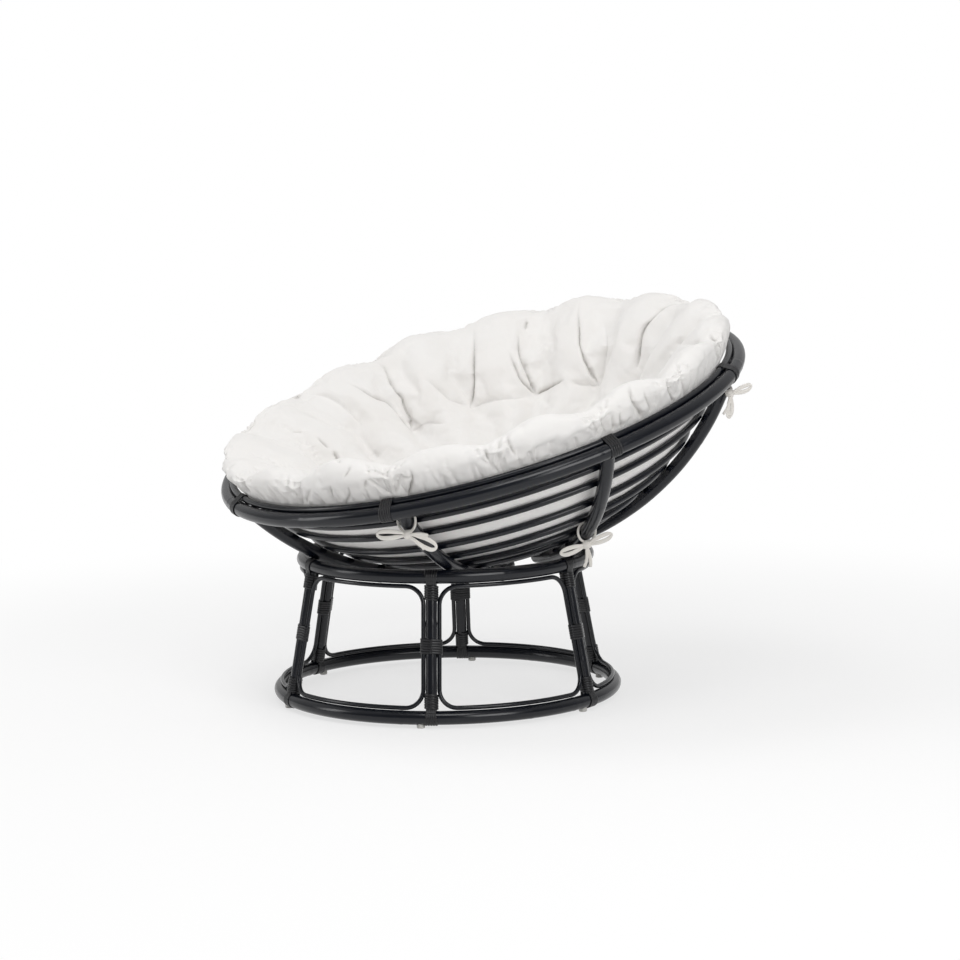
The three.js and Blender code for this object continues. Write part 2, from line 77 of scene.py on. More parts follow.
# A place on the glide's rounded edge, in from its side and up from its foot
GLIDE_ROUNDING = (0.0004, 0.0005)
WINDOW_ROD = 0.0042
WINDOW_CORNER = 0.034
WINDOW_CORNER_POINTS = 13
WINDOW_SIDE_POINTS = 20

# Poles are drawn with a point every so far along them and so many sides. The cane's nodes lie so far
# apart, and each stands out by a share of the pole's radius.
POLE_STEP = 0.0045
POLE_SIDES = 28
ROD_STEP = 0.006
ROD_SIDES = 16
NODE_SPACING = (0.20, 0.36)
NODE_RIDGE = 0.028
NODE_WIDTH = 0.0035
# Beside each node runs a groove, as shares of the node's height and width
GROOVE_DEPTH = 0.4
GROOVE_PLACE = 2.2
# A pole's radius also varies by a share, in so many waves along it
POLE_WAVE = 0.006
POLE_WAVE_COUNTS = (2, 3, 5)

# Rattan peel, wound in strands. Their section is in shares of the width and the thickness.
STRAND_WIDTH = 0.0045
STRAND_THICKNESS = 0.0015
STRAND_PITCH = 0.0047
STRAND_WOBBLE = 0.0003
STRAND_STEPS = 48
STRAND_SECTION = ((-0.5, 0.0), (-0.5, 0.45), (-0.4, 0.82), (-0.18, 1.0),
                  (0.18, 1.0), (0.4, 0.82), (0.5, 0.45), (0.5, 0.0))
WAIST_TURNS = 6
WAIST_HEIGHT = 0.130
SLEEVE_TURNS = 6
SLEEVE_GAP = 0.003
STRAP_COUNT = 5
STRAP_SPREAD_RING = 0.0048
STRAP_SPREAD_LEG = 0.0036
# A strap's ends lie under the sleeve at these shares of its length. It goes round the ring by this arc,
# where 90 is the ring's far side, and draws together between these angles from there.
STRAP_END_SHARES = (0.5, 0.1)
STRAP_ARC = (-42, 222)
STRAP_NARROWS = (60, 135)
STRAP_POINTS = 45
SLEEVE_LIFT = 0.8
RIM_LASH_TURNS = 5
# How far along the rim each of its lashings lies from its rib
RIM_LASH_SHIFTS = [-0.050, -0.020, 0.007, -0.018, -0.022, -0.016, -0.024, -0.020]

# The bowl, tilted back about its sphere's middle
BOWL_TILT = 17.3
RIM_RADIUS = 0.5206
RIM_POLE = 0.0141
RIM_DEPTH = 0.3022
INNER_RIM_POLE = 0.0065
INNER_RIM_ANGLE = 132.0
RIB_COUNT = 8
FIRST_RIB_AZIMUTH = -97.0
RIB_POLE = 0.0132
RIM_STAND_OFF = 0.00715
# A rib is drawn this many degrees past its head, and its last rings are cut back to the rim
RIB_OVERRUN = 1.2
RIB_LENGTH = 0.52
RIB_CUT_RINGS = 8
HOOP_POLE = 0.0065
CLEARANCE = 0.0003
# Where a rib starts and the hoops lie, as shares of the angle from the bowl's bottom to its rim
RIB_FOOT_SHARE = 0.1236
HUB_SHARE = 0.1587
HOOP_SHARES = [0.2756, 0.3875, 0.4978, 0.608, 0.7116, 0.8185, 0.897]

# The cushion
ROLL_RADIUS = 0.045
ROLL_INSET = 0.0556
ROLL_AXIS_UP = 0.050
ROLL_FROM = -42.0
ROLL_TO = 122.0
SEAT_THICKNESS = 0.098
SEAT_CROWN = 0.75
TUFT_INSET = 0.1826
TUFT_RING_UP = -0.060
TUFT_COUNT = 16
FIRST_TUFT_AZIMUTH = -75.5
TUFT_DEPTH = 0.028
ROLL_CHANNEL_DEPTH = 0.006
SEAT_CHANNEL_DEPTH = 0.003
CUSHION_COLUMNS = 384
CUSHION_ROWS = 128
# The cloth: how much larger than its shape it is cut, how hard the filling presses, and for how long
CLOTH_EXCESS = 0.07
CLOTH_PRESSURE = 3.0
CLOTH_SETTINGS = {
    "quality": 4,
    "mass": 0.3,
    "tension_stiffness": 15,
    "compression_stiffness": 15,
    "shear_stiffness": 5,
    "bending_stiffness": 0.3,
    "air_damping": 1,
    "use_pressure": True,
    "uniform_pressure_force": CLOTH_PRESSURE,
    "shrink_min": -CLOTH_EXCESS,
}
CLOTH_FRAMES = 14
CLOTH_REACH = 0.020
COVER_INSET = 0.008
COVER_GRID = 0.0095
TUFT_STITCH = 0.010
# Painted shade in the cloth's creases: how dark and wide it is, and how strongly it shows
PAINTED_CREASE_SHADE = (0.30, 0.28, 0.26)
PAINTED_SHADE_WIDTH = 0.0020
PAINTED_SHADE_STRENGTH = 1.3
# Small creases all over the cloth: their size and height, and the noise that counts as no rise
CRUMPLES = ((0.075, 0.0022), (0.030, 0.0010), (0.013, 0.0004))
CRUMPLE_LEVEL = 0.35
# How much higher the edge stands over each lobe, and how deep it is drawn in between them
LOBE_RISES = [0.018, 0.008, 0.015, 0.008, 0.003, 0.0, 0.0, -0.003,
              -0.003, -0.003, 0.006, -0.006, -0.020, -0.015, -0.007, 0.002]
NOTCH_DEPTH = 0.013
NOTCH_SHARPNESS = 0.75
# The lobes' rise sets in between these shares of the edge's height, and between these angles up its outside
LOBE_SETS_IN = (0.1, 0.9)
LOBE_ENDS = (-10, 55)

# The cotton ties
TIE_CORD = 0.003
TIE_KNOT = 0.009
LOOP_WIDTH = 0.0085
TAIL_WIDTH = 0.0062
TAPE_THICKNESS = 0.0030
TAPE_SIDES = 16
TAPE_STEP = 0.002
# The tape's width where it comes out of the knot and what it gains from there, over which share of its
# length, and how much narrower and over which share it is where it is folded back
TAPE_GATHERED = 0.55
TAPE_GAIN = 0.45
TAPE_GAINS_TO = 0.2
TAPE_FOLD_LOSS = 0.4
TAPE_FOLD_SHARE = 0.07
BAND_RADIUS = 0.0024
BAND_SIDES = 12
BAND_POINTS = 48
KNOT_RINGS = 15
KNOT_SIDES = 24
KNOT_RIDGE = 0.07
KNOT_WRAPS = 3
KNOT_LEAN = 5
KNOT_TIP = 0.0004
KNOT_FLATNESS = 0.9
# Where each knot lies and how far it is turned round the rib to the left, how steeply its band rises
# behind the rib, how far its left and right loop droop, how long and how open they are, and how its two
# tails turn from straight down to the right
TIES = [
    {"rib": 2, "share": 0.922, "turn": 0, "rise": 35, "tail_turns": [45, 82],
     "droops": [-10, 30], "reaches": [1.06, 1.14], "opens": [0.6, 0.76]},
    {"rib": 3, "share": 0.5496, "turn": 23, "rise": 30, "tail_turns": [-20, -4],
     "droops": [0, -12], "reaches": [0.97, 0.95], "opens": [0.52, 0.52]},
    {"rib": 4, "share": 0.9404, "turn": 40, "rise": 10, "tail_turns": [-34, -12],
     "droops": [75, -8], "reaches": [0.85, 0.85], "opens": [0.52, 0.52]},
]
# Across the rib, upright and outwards, from the middle of the knot
LOOP_ROUTE = [
    (0.004, 0.003, 0.003),
    (0.015, 0.0075, 0.006),
    (0.029, 0.0105, 0.008),
    (0.042, 0.010, 0.009),
    (0.050, 0.0065, 0.009),
    (0.0535, -0.0005, 0.009),
    (0.050, -0.0075, 0.008),
    (0.042, -0.011, 0.008),
    (0.029, -0.010, 0.007),
    (0.015, -0.006, 0.005),
    (0.004, -0.003, 0.003),
]
TAIL_ROUTE = [
    (0.0, -0.003, 0.004),
    (0.001, -0.013, 0.007),
    (0.002, -0.023, 0.008),
    (0.001, -0.033, 0.008),
    (-0.001, -0.042, 0.008),
]

# Places that follow from the sizes above
FLOOR_RING_HEIGHT = GLIDE_THICKNESS + FLOOR_RING_POLE
SEAT_RING_HEIGHT = FLOOR_RING_HEIGHT + SEAT_RING_RISE
RIM_SPHERE = math.hypot(RIM_RADIUS, RIM_DEPTH)
RIM_ANGLE = math.degrees(math.atan2(RIM_RADIUS, RIM_DEPTH))
RIB_SPHERE = RIM_SPHERE - RIM_STAND_OFF
HOOP_ANGLES = [share * RIM_ANGLE for share in HOOP_SHARES]
ROLL_AXIS_OUT = RIM_RADIUS - ROLL_INSET
TUFT_RING_OUT = RIM_RADIUS - TUFT_INSET
HOOP_SPHERE = RIB_SPHERE - RIB_POLE - CLEARANCE - HOOP_POLE
CUSHION_SPHERE = HOOP_SPHERE - HOOP_POLE - CLEARANCE
LEG_LEAN = math.atan2(FLOOR_RING_RADIUS - SEAT_RING_RADIUS, SEAT_RING_RISE)
BOWL_TURN = np.array([
    [1, 0, 0],
    [0, math.cos(math.radians(BOWL_TILT)), -math.sin(math.radians(BOWL_TILT))],
    [0, math.sin(math.radians(BOWL_TILT)), math.cos(math.radians(BOWL_TILT))],
])

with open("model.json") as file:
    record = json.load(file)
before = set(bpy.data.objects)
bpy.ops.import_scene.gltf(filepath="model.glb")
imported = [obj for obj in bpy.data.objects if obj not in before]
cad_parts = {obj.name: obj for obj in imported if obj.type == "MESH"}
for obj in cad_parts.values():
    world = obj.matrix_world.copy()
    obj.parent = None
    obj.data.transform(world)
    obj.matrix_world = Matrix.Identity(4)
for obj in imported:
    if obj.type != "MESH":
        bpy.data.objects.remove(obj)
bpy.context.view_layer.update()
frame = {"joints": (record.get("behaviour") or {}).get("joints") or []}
chance = np.random.default_rng(7)

PIVOT = np.array(frame["joints"][0]["pos_m"])
STAND_AXIS = np.array([PIVOT[0], PIVOT[1], 0.0])


def unit(vectors):
    vectors = np.asarray(vectors, float)
    return vectors / np.linalg.norm(vectors, axis=-1, keepdims=True)


def outwards_at(degrees):
    turn = math.radians(degrees)
    return np.array([math.cos(turn), math.sin(turn), 0.0])


def along_at(degrees):
    turn = math.radians(degrees)
    return np.array([-math.sin(turn), math.cos(turn), 0.0])


def in_row(points):
    """Points of the bowl, from its sphere's centre, laid in the row frame with the bowl at rest."""
    return np.asarray(points, float) @ BOWL_TURN.T + PIVOT


def bowl_point(sphere, angle, azimuth):
    out = sphere * math.sin(math.radians(angle))
    return outwards_at(azimuth) * out - np.array([0, 0, sphere * math.cos(math.radians(angle))])


# Materials

# A wave texture of scale 1 has a band every so many metres
WAVE_SPACING = 0.31416


def new_material(name, colour, roughness, sheen=0.0):
    material = bpy.data.materials.new(name)
    material.use_nodes = True
    shader = material.node_tree.nodes["Principled BSDF"]
    shader.inputs["Base Color"].default_value = (*colour, 1)
    shader.inputs["Roughness"].default_value = roughness
    shader.inputs["Sheen Weight"].default_value = sheen
    return material, shader


def new_node(tree, kind, inputs=(), **settings):
    """A shader node with some of its settings and some of its inputs' values."""
    node = tree.nodes.new(kind)
    for name, value in settings.items():
        setattr(node, name, value)
    for name, value in dict(inputs).items():
        node.inputs[name].default_value = value
    return node


def streaks(tree, around, along, detail=4.0):
    """Noise drawn out along a pole: so many streaks in a metre around it and along it."""
    place = new_node(tree, "ShaderNodeTexCoord")
    stretch = new_node(tree, "ShaderNodeMapping", {"Scale": (around, along, 1)})
    grain = new_node(tree, "ShaderNodeTexNoise", {"Scale": 1.0, "Detail": detail})
    tree.links.new(place.outputs["UV"], stretch.inputs["Vector"])
    tree.links.new(stretch.outputs["Vector"], grain.inputs["Vector"])
    return grain.outputs["Fac"]


def mixed_colour(tree, shader, factor, low, high):
    mix = new_node(tree, "ShaderNodeMix", {6: (*low, 1), 7: (*high, 1)}, data_type="RGBA")
    tree.links.new(factor, mix.inputs[0])
    tree.links.new(mix.outputs[2], shader.inputs["Base Color"])


def bumped(tree, shader, height, distance, strength):
    bump = new_node(tree, "ShaderNodeBump", {"Strength": strength, "Distance": distance})
    tree.links.new(height, bump.inputs["Height"])
    tree.links.new(bump.outputs["Normal"], shader.inputs["Normal"])


def stained(name, plain, gloss, streak_counts, colours, roughness, relief):
    """Cane under black stain, whose streaks vary its colour, its roughness and its surface."""
    material, shader = new_material(name, *plain)
    tree = material.node_tree
    shader.inputs["Specular IOR Level"].default_value = gloss
    grain = streaks(tree, *streak_counts)
    mixed_colour(tree, shader, grain, *colours)
    spread = new_node(tree, "ShaderNodeMapRange", {"To Min": roughness[0], "To Max": roughness[1]})
    tree.links.new(grain, spread.inputs["Value"])
    tree.links.new(spread.outputs["Result"], shader.inputs["Roughness"])
    bumped(tree, shader, grain, *relief)
    return material


def stained_rattan():
    return stained("black_stained_rattan", plain=((0.004, 0.005, 0.007), 0.22), gloss=0.46,
                   streak_counts=(420, 9), colours=((0.001, 0.0014, 0.003), (0.004, 0.006, 0.012)),
                   roughness=(0.12, 0.34), relief=(0.0003, 0.4))


def stained_peel():
    return stained("black_stained_peel", plain=((0.006, 0.006, 0.008), 0.3), gloss=0.5,
                   streak_counts=(900, 14), colours=((0.002, 0.002, 0.003), (0.012, 0.012, 0.015)),
                   roughness=(0.22, 0.42), relief=(0.0002, 0.25))


def woven(name, colour, thread):
    """Plain weave, with threads of this spacing laid along both directions of the surface."""
    material, shader = new_material(name, colour, roughness=0.9, sheen=0.15)
    tree = material.node_tree
    place = new_node(tree, "ShaderNodeTexCoord")
    weave = new_node(tree, "ShaderNodeMath", operation="MULTIPLY")
    for number, axis in enumerate(("X", "Y")):
        threads = new_node(tree, "ShaderNodeTexWave",
                           {"Scale": WAVE_SPACING / thread, "Distortion": 0.6, "Detail": 1.0},
                           wave_type="BANDS", bands_direction=axis)
        tree.links.new(place.outputs["UV"], threads.inputs["Vector"])
        tree.links.new(threads.outputs["Fac"], weave.inputs[number])
    bumped(tree, shader, weave.outputs["Value"], 0.00012, 0.5)
    warm = tuple(channel * shade for channel, shade in zip(colour, (0.975, 0.965, 0.95)))
    mixed_colour(tree, shader, streaks(tree, 9, 9, 5.0), warm, colour)
    return material


def canvas_with_painted_crease_shade():
    """Canvas with painted shade in its creases, whose strength the mesh carries at each point."""
    material = woven("off_white_canvas", (0.85, 0.838, 0.825), 0.0009)
    tree = material.node_tree
    base = tree.nodes["Principled BSDF"].inputs["Base Color"]
    plain = base.links[0].from_socket
    # Painted shade: the canvas's colour turns darker where the mesh marks its creases
    depth = new_node(tree, "ShaderNodeAttribute", attribute_name="painted_crease_shade")
    mix = new_node(tree, "ShaderNodeMix", {7: (*PAINTED_CREASE_SHADE, 1)}, data_type="RGBA")
    tree.links.new(depth.outputs["Fac"], mix.inputs[0])
    tree.links.new(plain, mix.inputs[6])
    tree.links.new(mix.outputs[2], base)
    return material


def pale_nylon():
    material, _ = new_material("pale_nylon", (0.6, 0.59, 0.56), 0.45)
    return material


RATTAN = stained_rattan()
PEEL = stained_peel()
CANVAS = canvas_with_painted_crease_shade()
COTTON = woven("cotton_tape", (0.80, 0.775, 0.735), 0.0007)
NYLON = pale_nylon()


# Meshes


def mesh_object(name, vertices, faces, uvs, material):
    mesh = bpy.data.meshes.new(name)
    mesh.from_pydata(np.asarray(vertices, float).tolist(), [], faces)
    layer = mesh.uv_layers.new(name="uv")
    layer.data.foreach_set("uv", np.asarray(uvs, float).ravel())
    mesh.polygons.foreach_set("use_smooth", np.full(len(mesh.polygons), True))
    mesh.materials.append(material)
    mesh.update()
    made = bpy.data.objects.new(name, mesh)
    bpy.context.scene.collection.objects.link(made)
    return made


class Skin:
    """Surfaces over rings of points, gathered into one mesh."""

    def __init__(self):
        self.vertices = []
        self.faces = []
        self.uvs = []

    def add(self, rings, around, along, closed_along=False):
        """rings: (stations, points, 3). around: metres round a ring for each point and one more.
        along: metres along for each station, and one more if it is closed."""
        stations, points = rings.shape[:2]
        first = len(self.vertices)
        self.vertices.extend(rings.reshape(-1, 3))
        rows = stations if closed_along else stations - 1
        for row in range(rows):
            here = first + row * points
            there = first + ((row + 1) % stations) * points
            for column in range(points):
                after = (column + 1) % points
                self.faces.append((here + column, here + after, there + after, there + column))
                left, right = around[column], around[column + 1]
                low, high = along[row], along[row + 1]
                self.uvs.extend(((left, low), (right, low), (right, high), (left, high)))
        if not closed_along:
            self.cap(first, points, True, along[0])
            self.cap(first + (stations - 1) * points, points, False, along[-1])

    def cap(self, start, points, turned, along):
        order = range(points - 1, -1, -1) if turned else range(points)
        self.faces.append(tuple(start + i for i in order))
        middle = np.mean(self.vertices[start:start + points], axis=0)
        for i in order:
            reach = float(np.linalg.norm(self.vertices[start + i] - middle))
            turn = 2 * math.pi * i / points
            self.uvs.append((reach * math.cos(turn), along + reach * math.sin(turn)))

    def finish(self, name, material):
        return mesh_object(name, self.vertices, self.faces, self.uvs, material)


def lengths_along(points, closed):
    following = np.roll(points, -1, axis=0) if closed else points[1:]
    steps = np.linalg.norm(following - (points if closed else points[:-1]), axis=1)
    return np.concatenate([[0.0], np.cumsum(steps)])


def resampled(points, step, closed=False):
    """Points at even distances along a line through the given ones."""
    points = np.asarray(points, float)
    along = lengths_along(points, closed)
    if closed:
        points = np.vstack([points, points[:1]])
    count = max(2, round(along[-1] / step))
    wanted = np.linspace(0, along[-1], count + 1)
    if closed:
        wanted = wanted[:-1]
    return np.column_stack([np.interp(wanted, along, points[:, axis]) for axis in range(3)])


def smooth_line(points, step):
    """A smooth line through a few points."""
    points = np.asarray(points, float)
    padded = np.vstack([2 * points[0] - points[1], points, 2 * points[-1] - points[-2]])
    fine = []
    for a, b, c, d in zip(padded[:-3], padded[1:-2], padded[2:-1], padded[3:]):
        for t in np.linspace(0, 1, 12, endpoint=False):
            fine.append(0.5 * (2 * b + (c - a) * t + (2 * a - 5 * b + 4 * c - d) * t ** 2
                               + (3 * b - a - 3 * c + d) * t ** 3))
    fine.append(points[-1])
    return resampled(fine, step)


def tangents_of(points, closed):
    if closed:
        return unit(np.roll(points, -1, axis=0) - np.roll(points, 1, axis=0))
    return unit(np.gradient(points, axis=0))


def frames_along(points, closed, first=None):
    """Two directions across a line at each point, without twist."""
    tangents = tangents_of(points, closed)
    start = np.array([0.0, 0.0, 1.0]) if first is None else np.asarray(first, float)
    start = start - tangents[0] * (start @ tangents[0])
    if np.linalg.norm(start) < 1e-6:
        start = np.cross(tangents[0], [1.0, 0.0, 0.0])
    side = unit(start)
    sides = [side]
    for tangent in tangents[1:]:
        side = unit(side - tangent * (side @ tangent))
        sides.append(side)
    sides = np.array(sides)
    if closed:
        last = unit(sides[-1] - tangents[0] * (sides[-1] @ tangents[0]))
        other = np.cross(tangents[0], sides[0])
        twist = math.atan2(last @ other, last @ sides[0])
        turns = -twist * np.arange(len(points)) / len(points)
        others = np.cross(tangents, sides)
        sides = sides * np.cos(turns)[:, None] + others * np.sin(turns)[:, None]
    return sides, np.cross(tangents, sides)


# Rattan poles


def pole_radii(along, length, radius, closed):
    """A pole's radius at each place: it varies a little, and each node of the cane stands out."""
    waves = np.ones(len(along))
    for cycles in POLE_WAVE_COUNTS:
        phase = chance.uniform(0, 2 * math.pi)
        waves += POLE_WAVE * np.sin(2 * math.pi * cycles * along / length + phase)
    place = chance.uniform(0.04, 0.2)
    while place < length:
        gap = along - place
        if closed:
            gap = (gap + length / 2) % length - length / 2
        waves += NODE_RIDGE * np.exp(-((gap / NODE_WIDTH) ** 2))
        beside = gap / NODE_WIDTH - GROOVE_PLACE
        waves -= GROOVE_DEPTH * NODE_RIDGE * np.exp(-(beside ** 2))
        place += chance.uniform(*NODE_SPACING)
    return radius * waves


def pole_skin(points, radius, sides, closed=False, first=None, plain=False):
    side, other = frames_along(points, closed, first)
    along = lengths_along(points, closed)
    length = along[-1]
    here = along[:-1] if closed else along
    radii = np.full(len(points), radius) if plain else pole_radii(here, length, radius, closed)
    turns = 2 * math.pi * np.arange(sides) / sides
    rings = (points[:, None, :]
             + radii[:, None, None] * (side[:, None, :] * np.cos(turns)[None, :, None]
                                       + other[:, None, :] * np.sin(turns)[None, :, None]))
    around = 2 * math.pi * radius * np.arange(sides + 1) / sides
    return rings, around, along


def pole(name, node, points, radius, sides, body, closed=False, first=None, shape_end=None):
    rings, around, along = pole_skin(points, radius, sides, closed, first)
    if shape_end:
        shape_end(rings)
    skin = Skin()
    skin.add(rings, around, along, closed_along=closed)
    return settled(skin.finish(name, RATTAN), body, node)


def settled(made, body, *nodes):
    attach(made, body)
    if nodes:
        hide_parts(*nodes)
    return made


def circle_points(radius, height, step):
    count = round(2 * math.pi * radius / step)
    turns = 2 * math.pi * np.arange(count) / count
    return np.column_stack([radius * np.cos(turns), radius * np.sin(turns), np.full(count, height)])


# The stand


def leg_frame(azimuth):
    outwards = outwards_at(azimuth)
    foot = outwards * FLOOR_RING_RADIUS + [0, 0, FLOOR_RING_HEIGHT] + STAND_AXIS
    head = outwards * SEAT_RING_RADIUS + [0, 0, SEAT_RING_HEIGHT] + STAND_AXIS
    up = unit(head - foot)
    across = along_at(azimuth)
    return {"foot": foot, "head": head, "up": up, "across": across, "face": np.cross(across, up)}


def saddle(ring_pole, offset):
    """How far from a ring's middle a pole's end lies, at an offset from the line through that middle."""
    return np.sqrt(np.maximum(ring_pole ** 2 - offset ** 2, 0))


def leg(number, place):
    points = resampled([place["foot"], place["head"]], POLE_STEP)

    def cope(rings):
        for end, centre, inwards in ((0, place["foot"], place["up"]), (-1, place["head"], -place["up"])):
            pole_of_ring = FLOOR_RING_POLE if end == 0 else SEAT_RING_POLE
            offset = (rings[end] - centre) @ place["face"]
            reach = saddle(pole_of_ring, offset)
            distances = (rings - centre) @ inwards
            for ring, distance in zip(rings, distances):
                short = np.maximum(reach - distance, 0)
                ring += short[:, None] * inwards

    pole(f"leg_pole_{number}", f"leg_{number}", points, LEG_POLE, POLE_SIDES, "stand",
         first=place["across"], shape_end=cope)


def window_line(middle_azimuth):
    """The line of a window's rod: a rounded rectangle laid on the cone through the legs."""
    bottom = FLOOR_RING_HEIGHT + FLOOR_RING_POLE + CLEARANCE + WINDOW_ROD
    top = SEAT_RING_HEIGHT - SEAT_RING_POLE - CLEARANCE - WINDOW_ROD
    side_gap = LEG_POLE + CLEARANCE + WINDOW_ROD

    def radius_at(z):
        return FLOOR_RING_RADIUS - (z - FLOOR_RING_HEIGHT) * math.tan(LEG_LEAN)

    def half_width_at(z):
        return radius_at(z) * math.pi / LEG_COUNT - side_gap

    def place(along, z):
        turn = math.radians(middle_azimuth) + along / radius_at(z)
        return (radius_at(z) * math.cos(turn), radius_at(z) * math.sin(turn), z)

    points = []
    corners = ((1, bottom + WINDOW_CORNER, -90), (1, top - WINDOW_CORNER, 0),
               (-1, top - WINDOW_CORNER, 90), (-1, bottom + WINDOW_CORNER, 180))
    for index, (side, z, start) in enumerate(corners):
        for turn in np.radians(np.linspace(start, start + 90, WINDOW_CORNER_POINTS)):
            height = z + WINDOW_CORNER * math.sin(turn)
            reach = half_width_at(height) - WINDOW_CORNER
            points.append(place(side * reach + WINDOW_CORNER * math.cos(turn), height))
        if index in (1, 3):
            level = top if index == 1 else bottom
            reach = side * (half_width_at(level) - WINDOW_CORNER)
            straight = np.linspace(reach, -reach, WINDOW_SIDE_POINTS)[1:-1]
            points.extend(place(along, level) for along in straight)
    return resampled(np.array(points) + STAND_AXIS, ROD_STEP, closed=True)


def glide(number, azimuth):
    turn = azimuth - math.degrees(GLIDE_SHIFT / FLOOR_RING_RADIUS)
    centre = outwards_at(turn) * FLOOR_RING_RADIUS + STAND_AXIS
    top = GLIDE_THICKNESS + GLIDE_SUNK
    inset, rise = GLIDE_ROUNDING
    profile = ((GLIDE_CORE, 0), (GLIDE_RADIUS - GLIDE_CHAMFER, 0), (GLIDE_RADIUS - inset, rise),
               (GLIDE_RADIUS, GLIDE_CHAMFER), (GLIDE_RADIUS, top), (GLIDE_CORE, top))
    turns = 2 * math.pi * np.arange(GLIDE_SIDES) / GLIDE_SIDES
    rings = np.array([
        [centre + [radius * math.cos(t), radius * math.sin(t), height] for t in turns]
        for radius, height in profile
    ])
    skin = Skin()
    around = GLIDE_RADIUS * np.arange(GLIDE_SIDES + 1) / GLIDE_SIDES
    skin.add(rings, around, np.arange(len(profile)) * 0.002)
    settled(skin.finish(f"glide_disc_{number}", NYLON), "stand", f"glide_{number}")


# Strands of peel


def add_strand(skin, points, out):
    """A flat strand with its underside on the points, standing out along the given directions."""
    tangents = tangents_of(points, False)
    out = unit(out - tangents * np.sum(out * tangents, axis=1)[:, None])
    across = np.cross(out, tangents)
    rings = np.stack([points + across * (wide * STRAND_WIDTH) + out * (high * STRAND_THICKNESS)
                      for wide, high in STRAND_SECTION], axis=1)
    around = STRAND_WIDTH * np.arange(len(STRAND_SECTION) + 1) / 4
    offset = chance.uniform(0, 3)
    skin.add(rings, around + offset, lengths_along(points, False) + offset)


def hull_point(circles, angle, grown):
    """The furthest point of circles (across, face, radius) in a direction, and that direction."""
    direction = np.array([math.cos(angle), math.sin(angle)])
    best = max(circles, key=lambda c: c[0] * direction[0] + c[1] * direction[1] + c[2])
    return np.array(best[:2]) + direction * (best[2] + grown), direction


def wound(skin, circles, centre, across, face, axis, turns, pitch, start=0.0):
    """A strand wound round circles side by side, as a helix about the axis."""
    points = []
    out = []
    wobble = chance.uniform(-STRAND_WOBBLE, STRAND_WOBBLE, turns + 2)
    for i in range(turns * STRAND_STEPS + 1):
        turn = i / STRAND_STEPS
        angle = start + 2 * math.pi * turn
        (a, f), direction = hull_point(circles, angle, CLEARANCE)
        shift = (turn - turns / 2) * pitch + np.interp(turn, np.arange(turns + 2), wobble)
        points.append(centre + across * a + face * f + axis * shift)
        out.append(across * direction[0] + face * direction[1])
    add_strand(skin, np.array(points), np.array(out))


def waist_lashing(number, place):
    rod_out = LEG_POLE + CLEARANCE + WINDOW_ROD
    circles = ((-rod_out, 0.0, WINDOW_ROD), (0.0, 0.0, LEG_POLE), (rod_out, 0.0, WINDOW_ROD))
    middle = place["foot"] + place["up"] * (WAIST_HEIGHT / place["up"][2])
    skin = Skin()
    wound(skin, circles, middle, place["across"], place["face"], place["up"], WAIST_TURNS, STRAND_PITCH,
          start=-math.pi / 2)
    settled(skin.finish(f"waist_winding_{number}", PEEL), "stand", f"waist_lashing_{number}")


def end_lashing(number, place, end, inwards, ring_pole, name, node, pressed=False):
    """Straps over a ring, whose ends run down the leg under a few turns of the same strand."""
    skin = Skin()
    sleeve_start = ring_pole + SLEEVE_GAP
    sleeve_length = SLEEVE_TURNS * STRAND_PITCH
    for j in range(STRAP_COUNT):
        shift = j - (STRAP_COUNT - 1) / 2
        at_ring = shift * STRAP_SPREAD_RING
        at_leg = shift * STRAP_SPREAD_LEG
        leg_face = math.sqrt(LEG_POLE ** 2 - at_leg ** 2) + CLEARANCE
        ring_reach = ring_pole + CLEARANCE
        ends = [sleeve_start + share * sleeve_length for share in STRAP_END_SHARES]
        points = [(at_leg, leg_face, height) for height in ends]
        out = [(0, 1, 0)] * len(ends)
        for angle in np.radians(np.linspace(*STRAP_ARC, STRAP_POINTS)):
            spread = np.interp(abs(math.degrees(angle) - 90), STRAP_NARROWS, (at_ring, at_leg))
            points.append((spread, ring_reach * math.cos(angle), -ring_reach * math.sin(angle)))
            out.append((0, math.cos(angle), -math.sin(angle)))
        points += [(at_leg, -leg_face, height) for height in reversed(ends)]
        out += [(0, -1, 0)] * len(ends)
        basis = np.array([place["across"], place["face"], inwards])
        add_strand(skin, np.array(points) @ basis + end, np.array(out, float) @ basis)
    middle = end + inwards * (sleeve_start + sleeve_length / 2)
    circles = ((0.0, 0.0, LEG_POLE + STRAND_THICKNESS * SLEEVE_LIFT),)
    wound(skin, circles, middle, place["across"], place["face"], place["up"], SLEEVE_TURNS, STRAND_PITCH,
          start=-math.pi / 2)
    if pressed:
        press_clear_of_ribs(skin)
    settled(skin.finish(f"{name}_{number}", PEEL), "stand", f"{node}_{number}")


def press_clear_of_ribs(skin):
    """Strands on top of the seat ring lie flat where the bowl's ribs ride over them."""
    least = RIB_SPHERE + RIB_POLE + CLEARANCE / 2
    vertices = np.array(skin.vertices)
    away = vertices - PIVOT
    distance = np.linalg.norm(away, axis=1, keepdims=True)
    skin.vertices = list(PIVOT + away * np.maximum(1, least / distance))


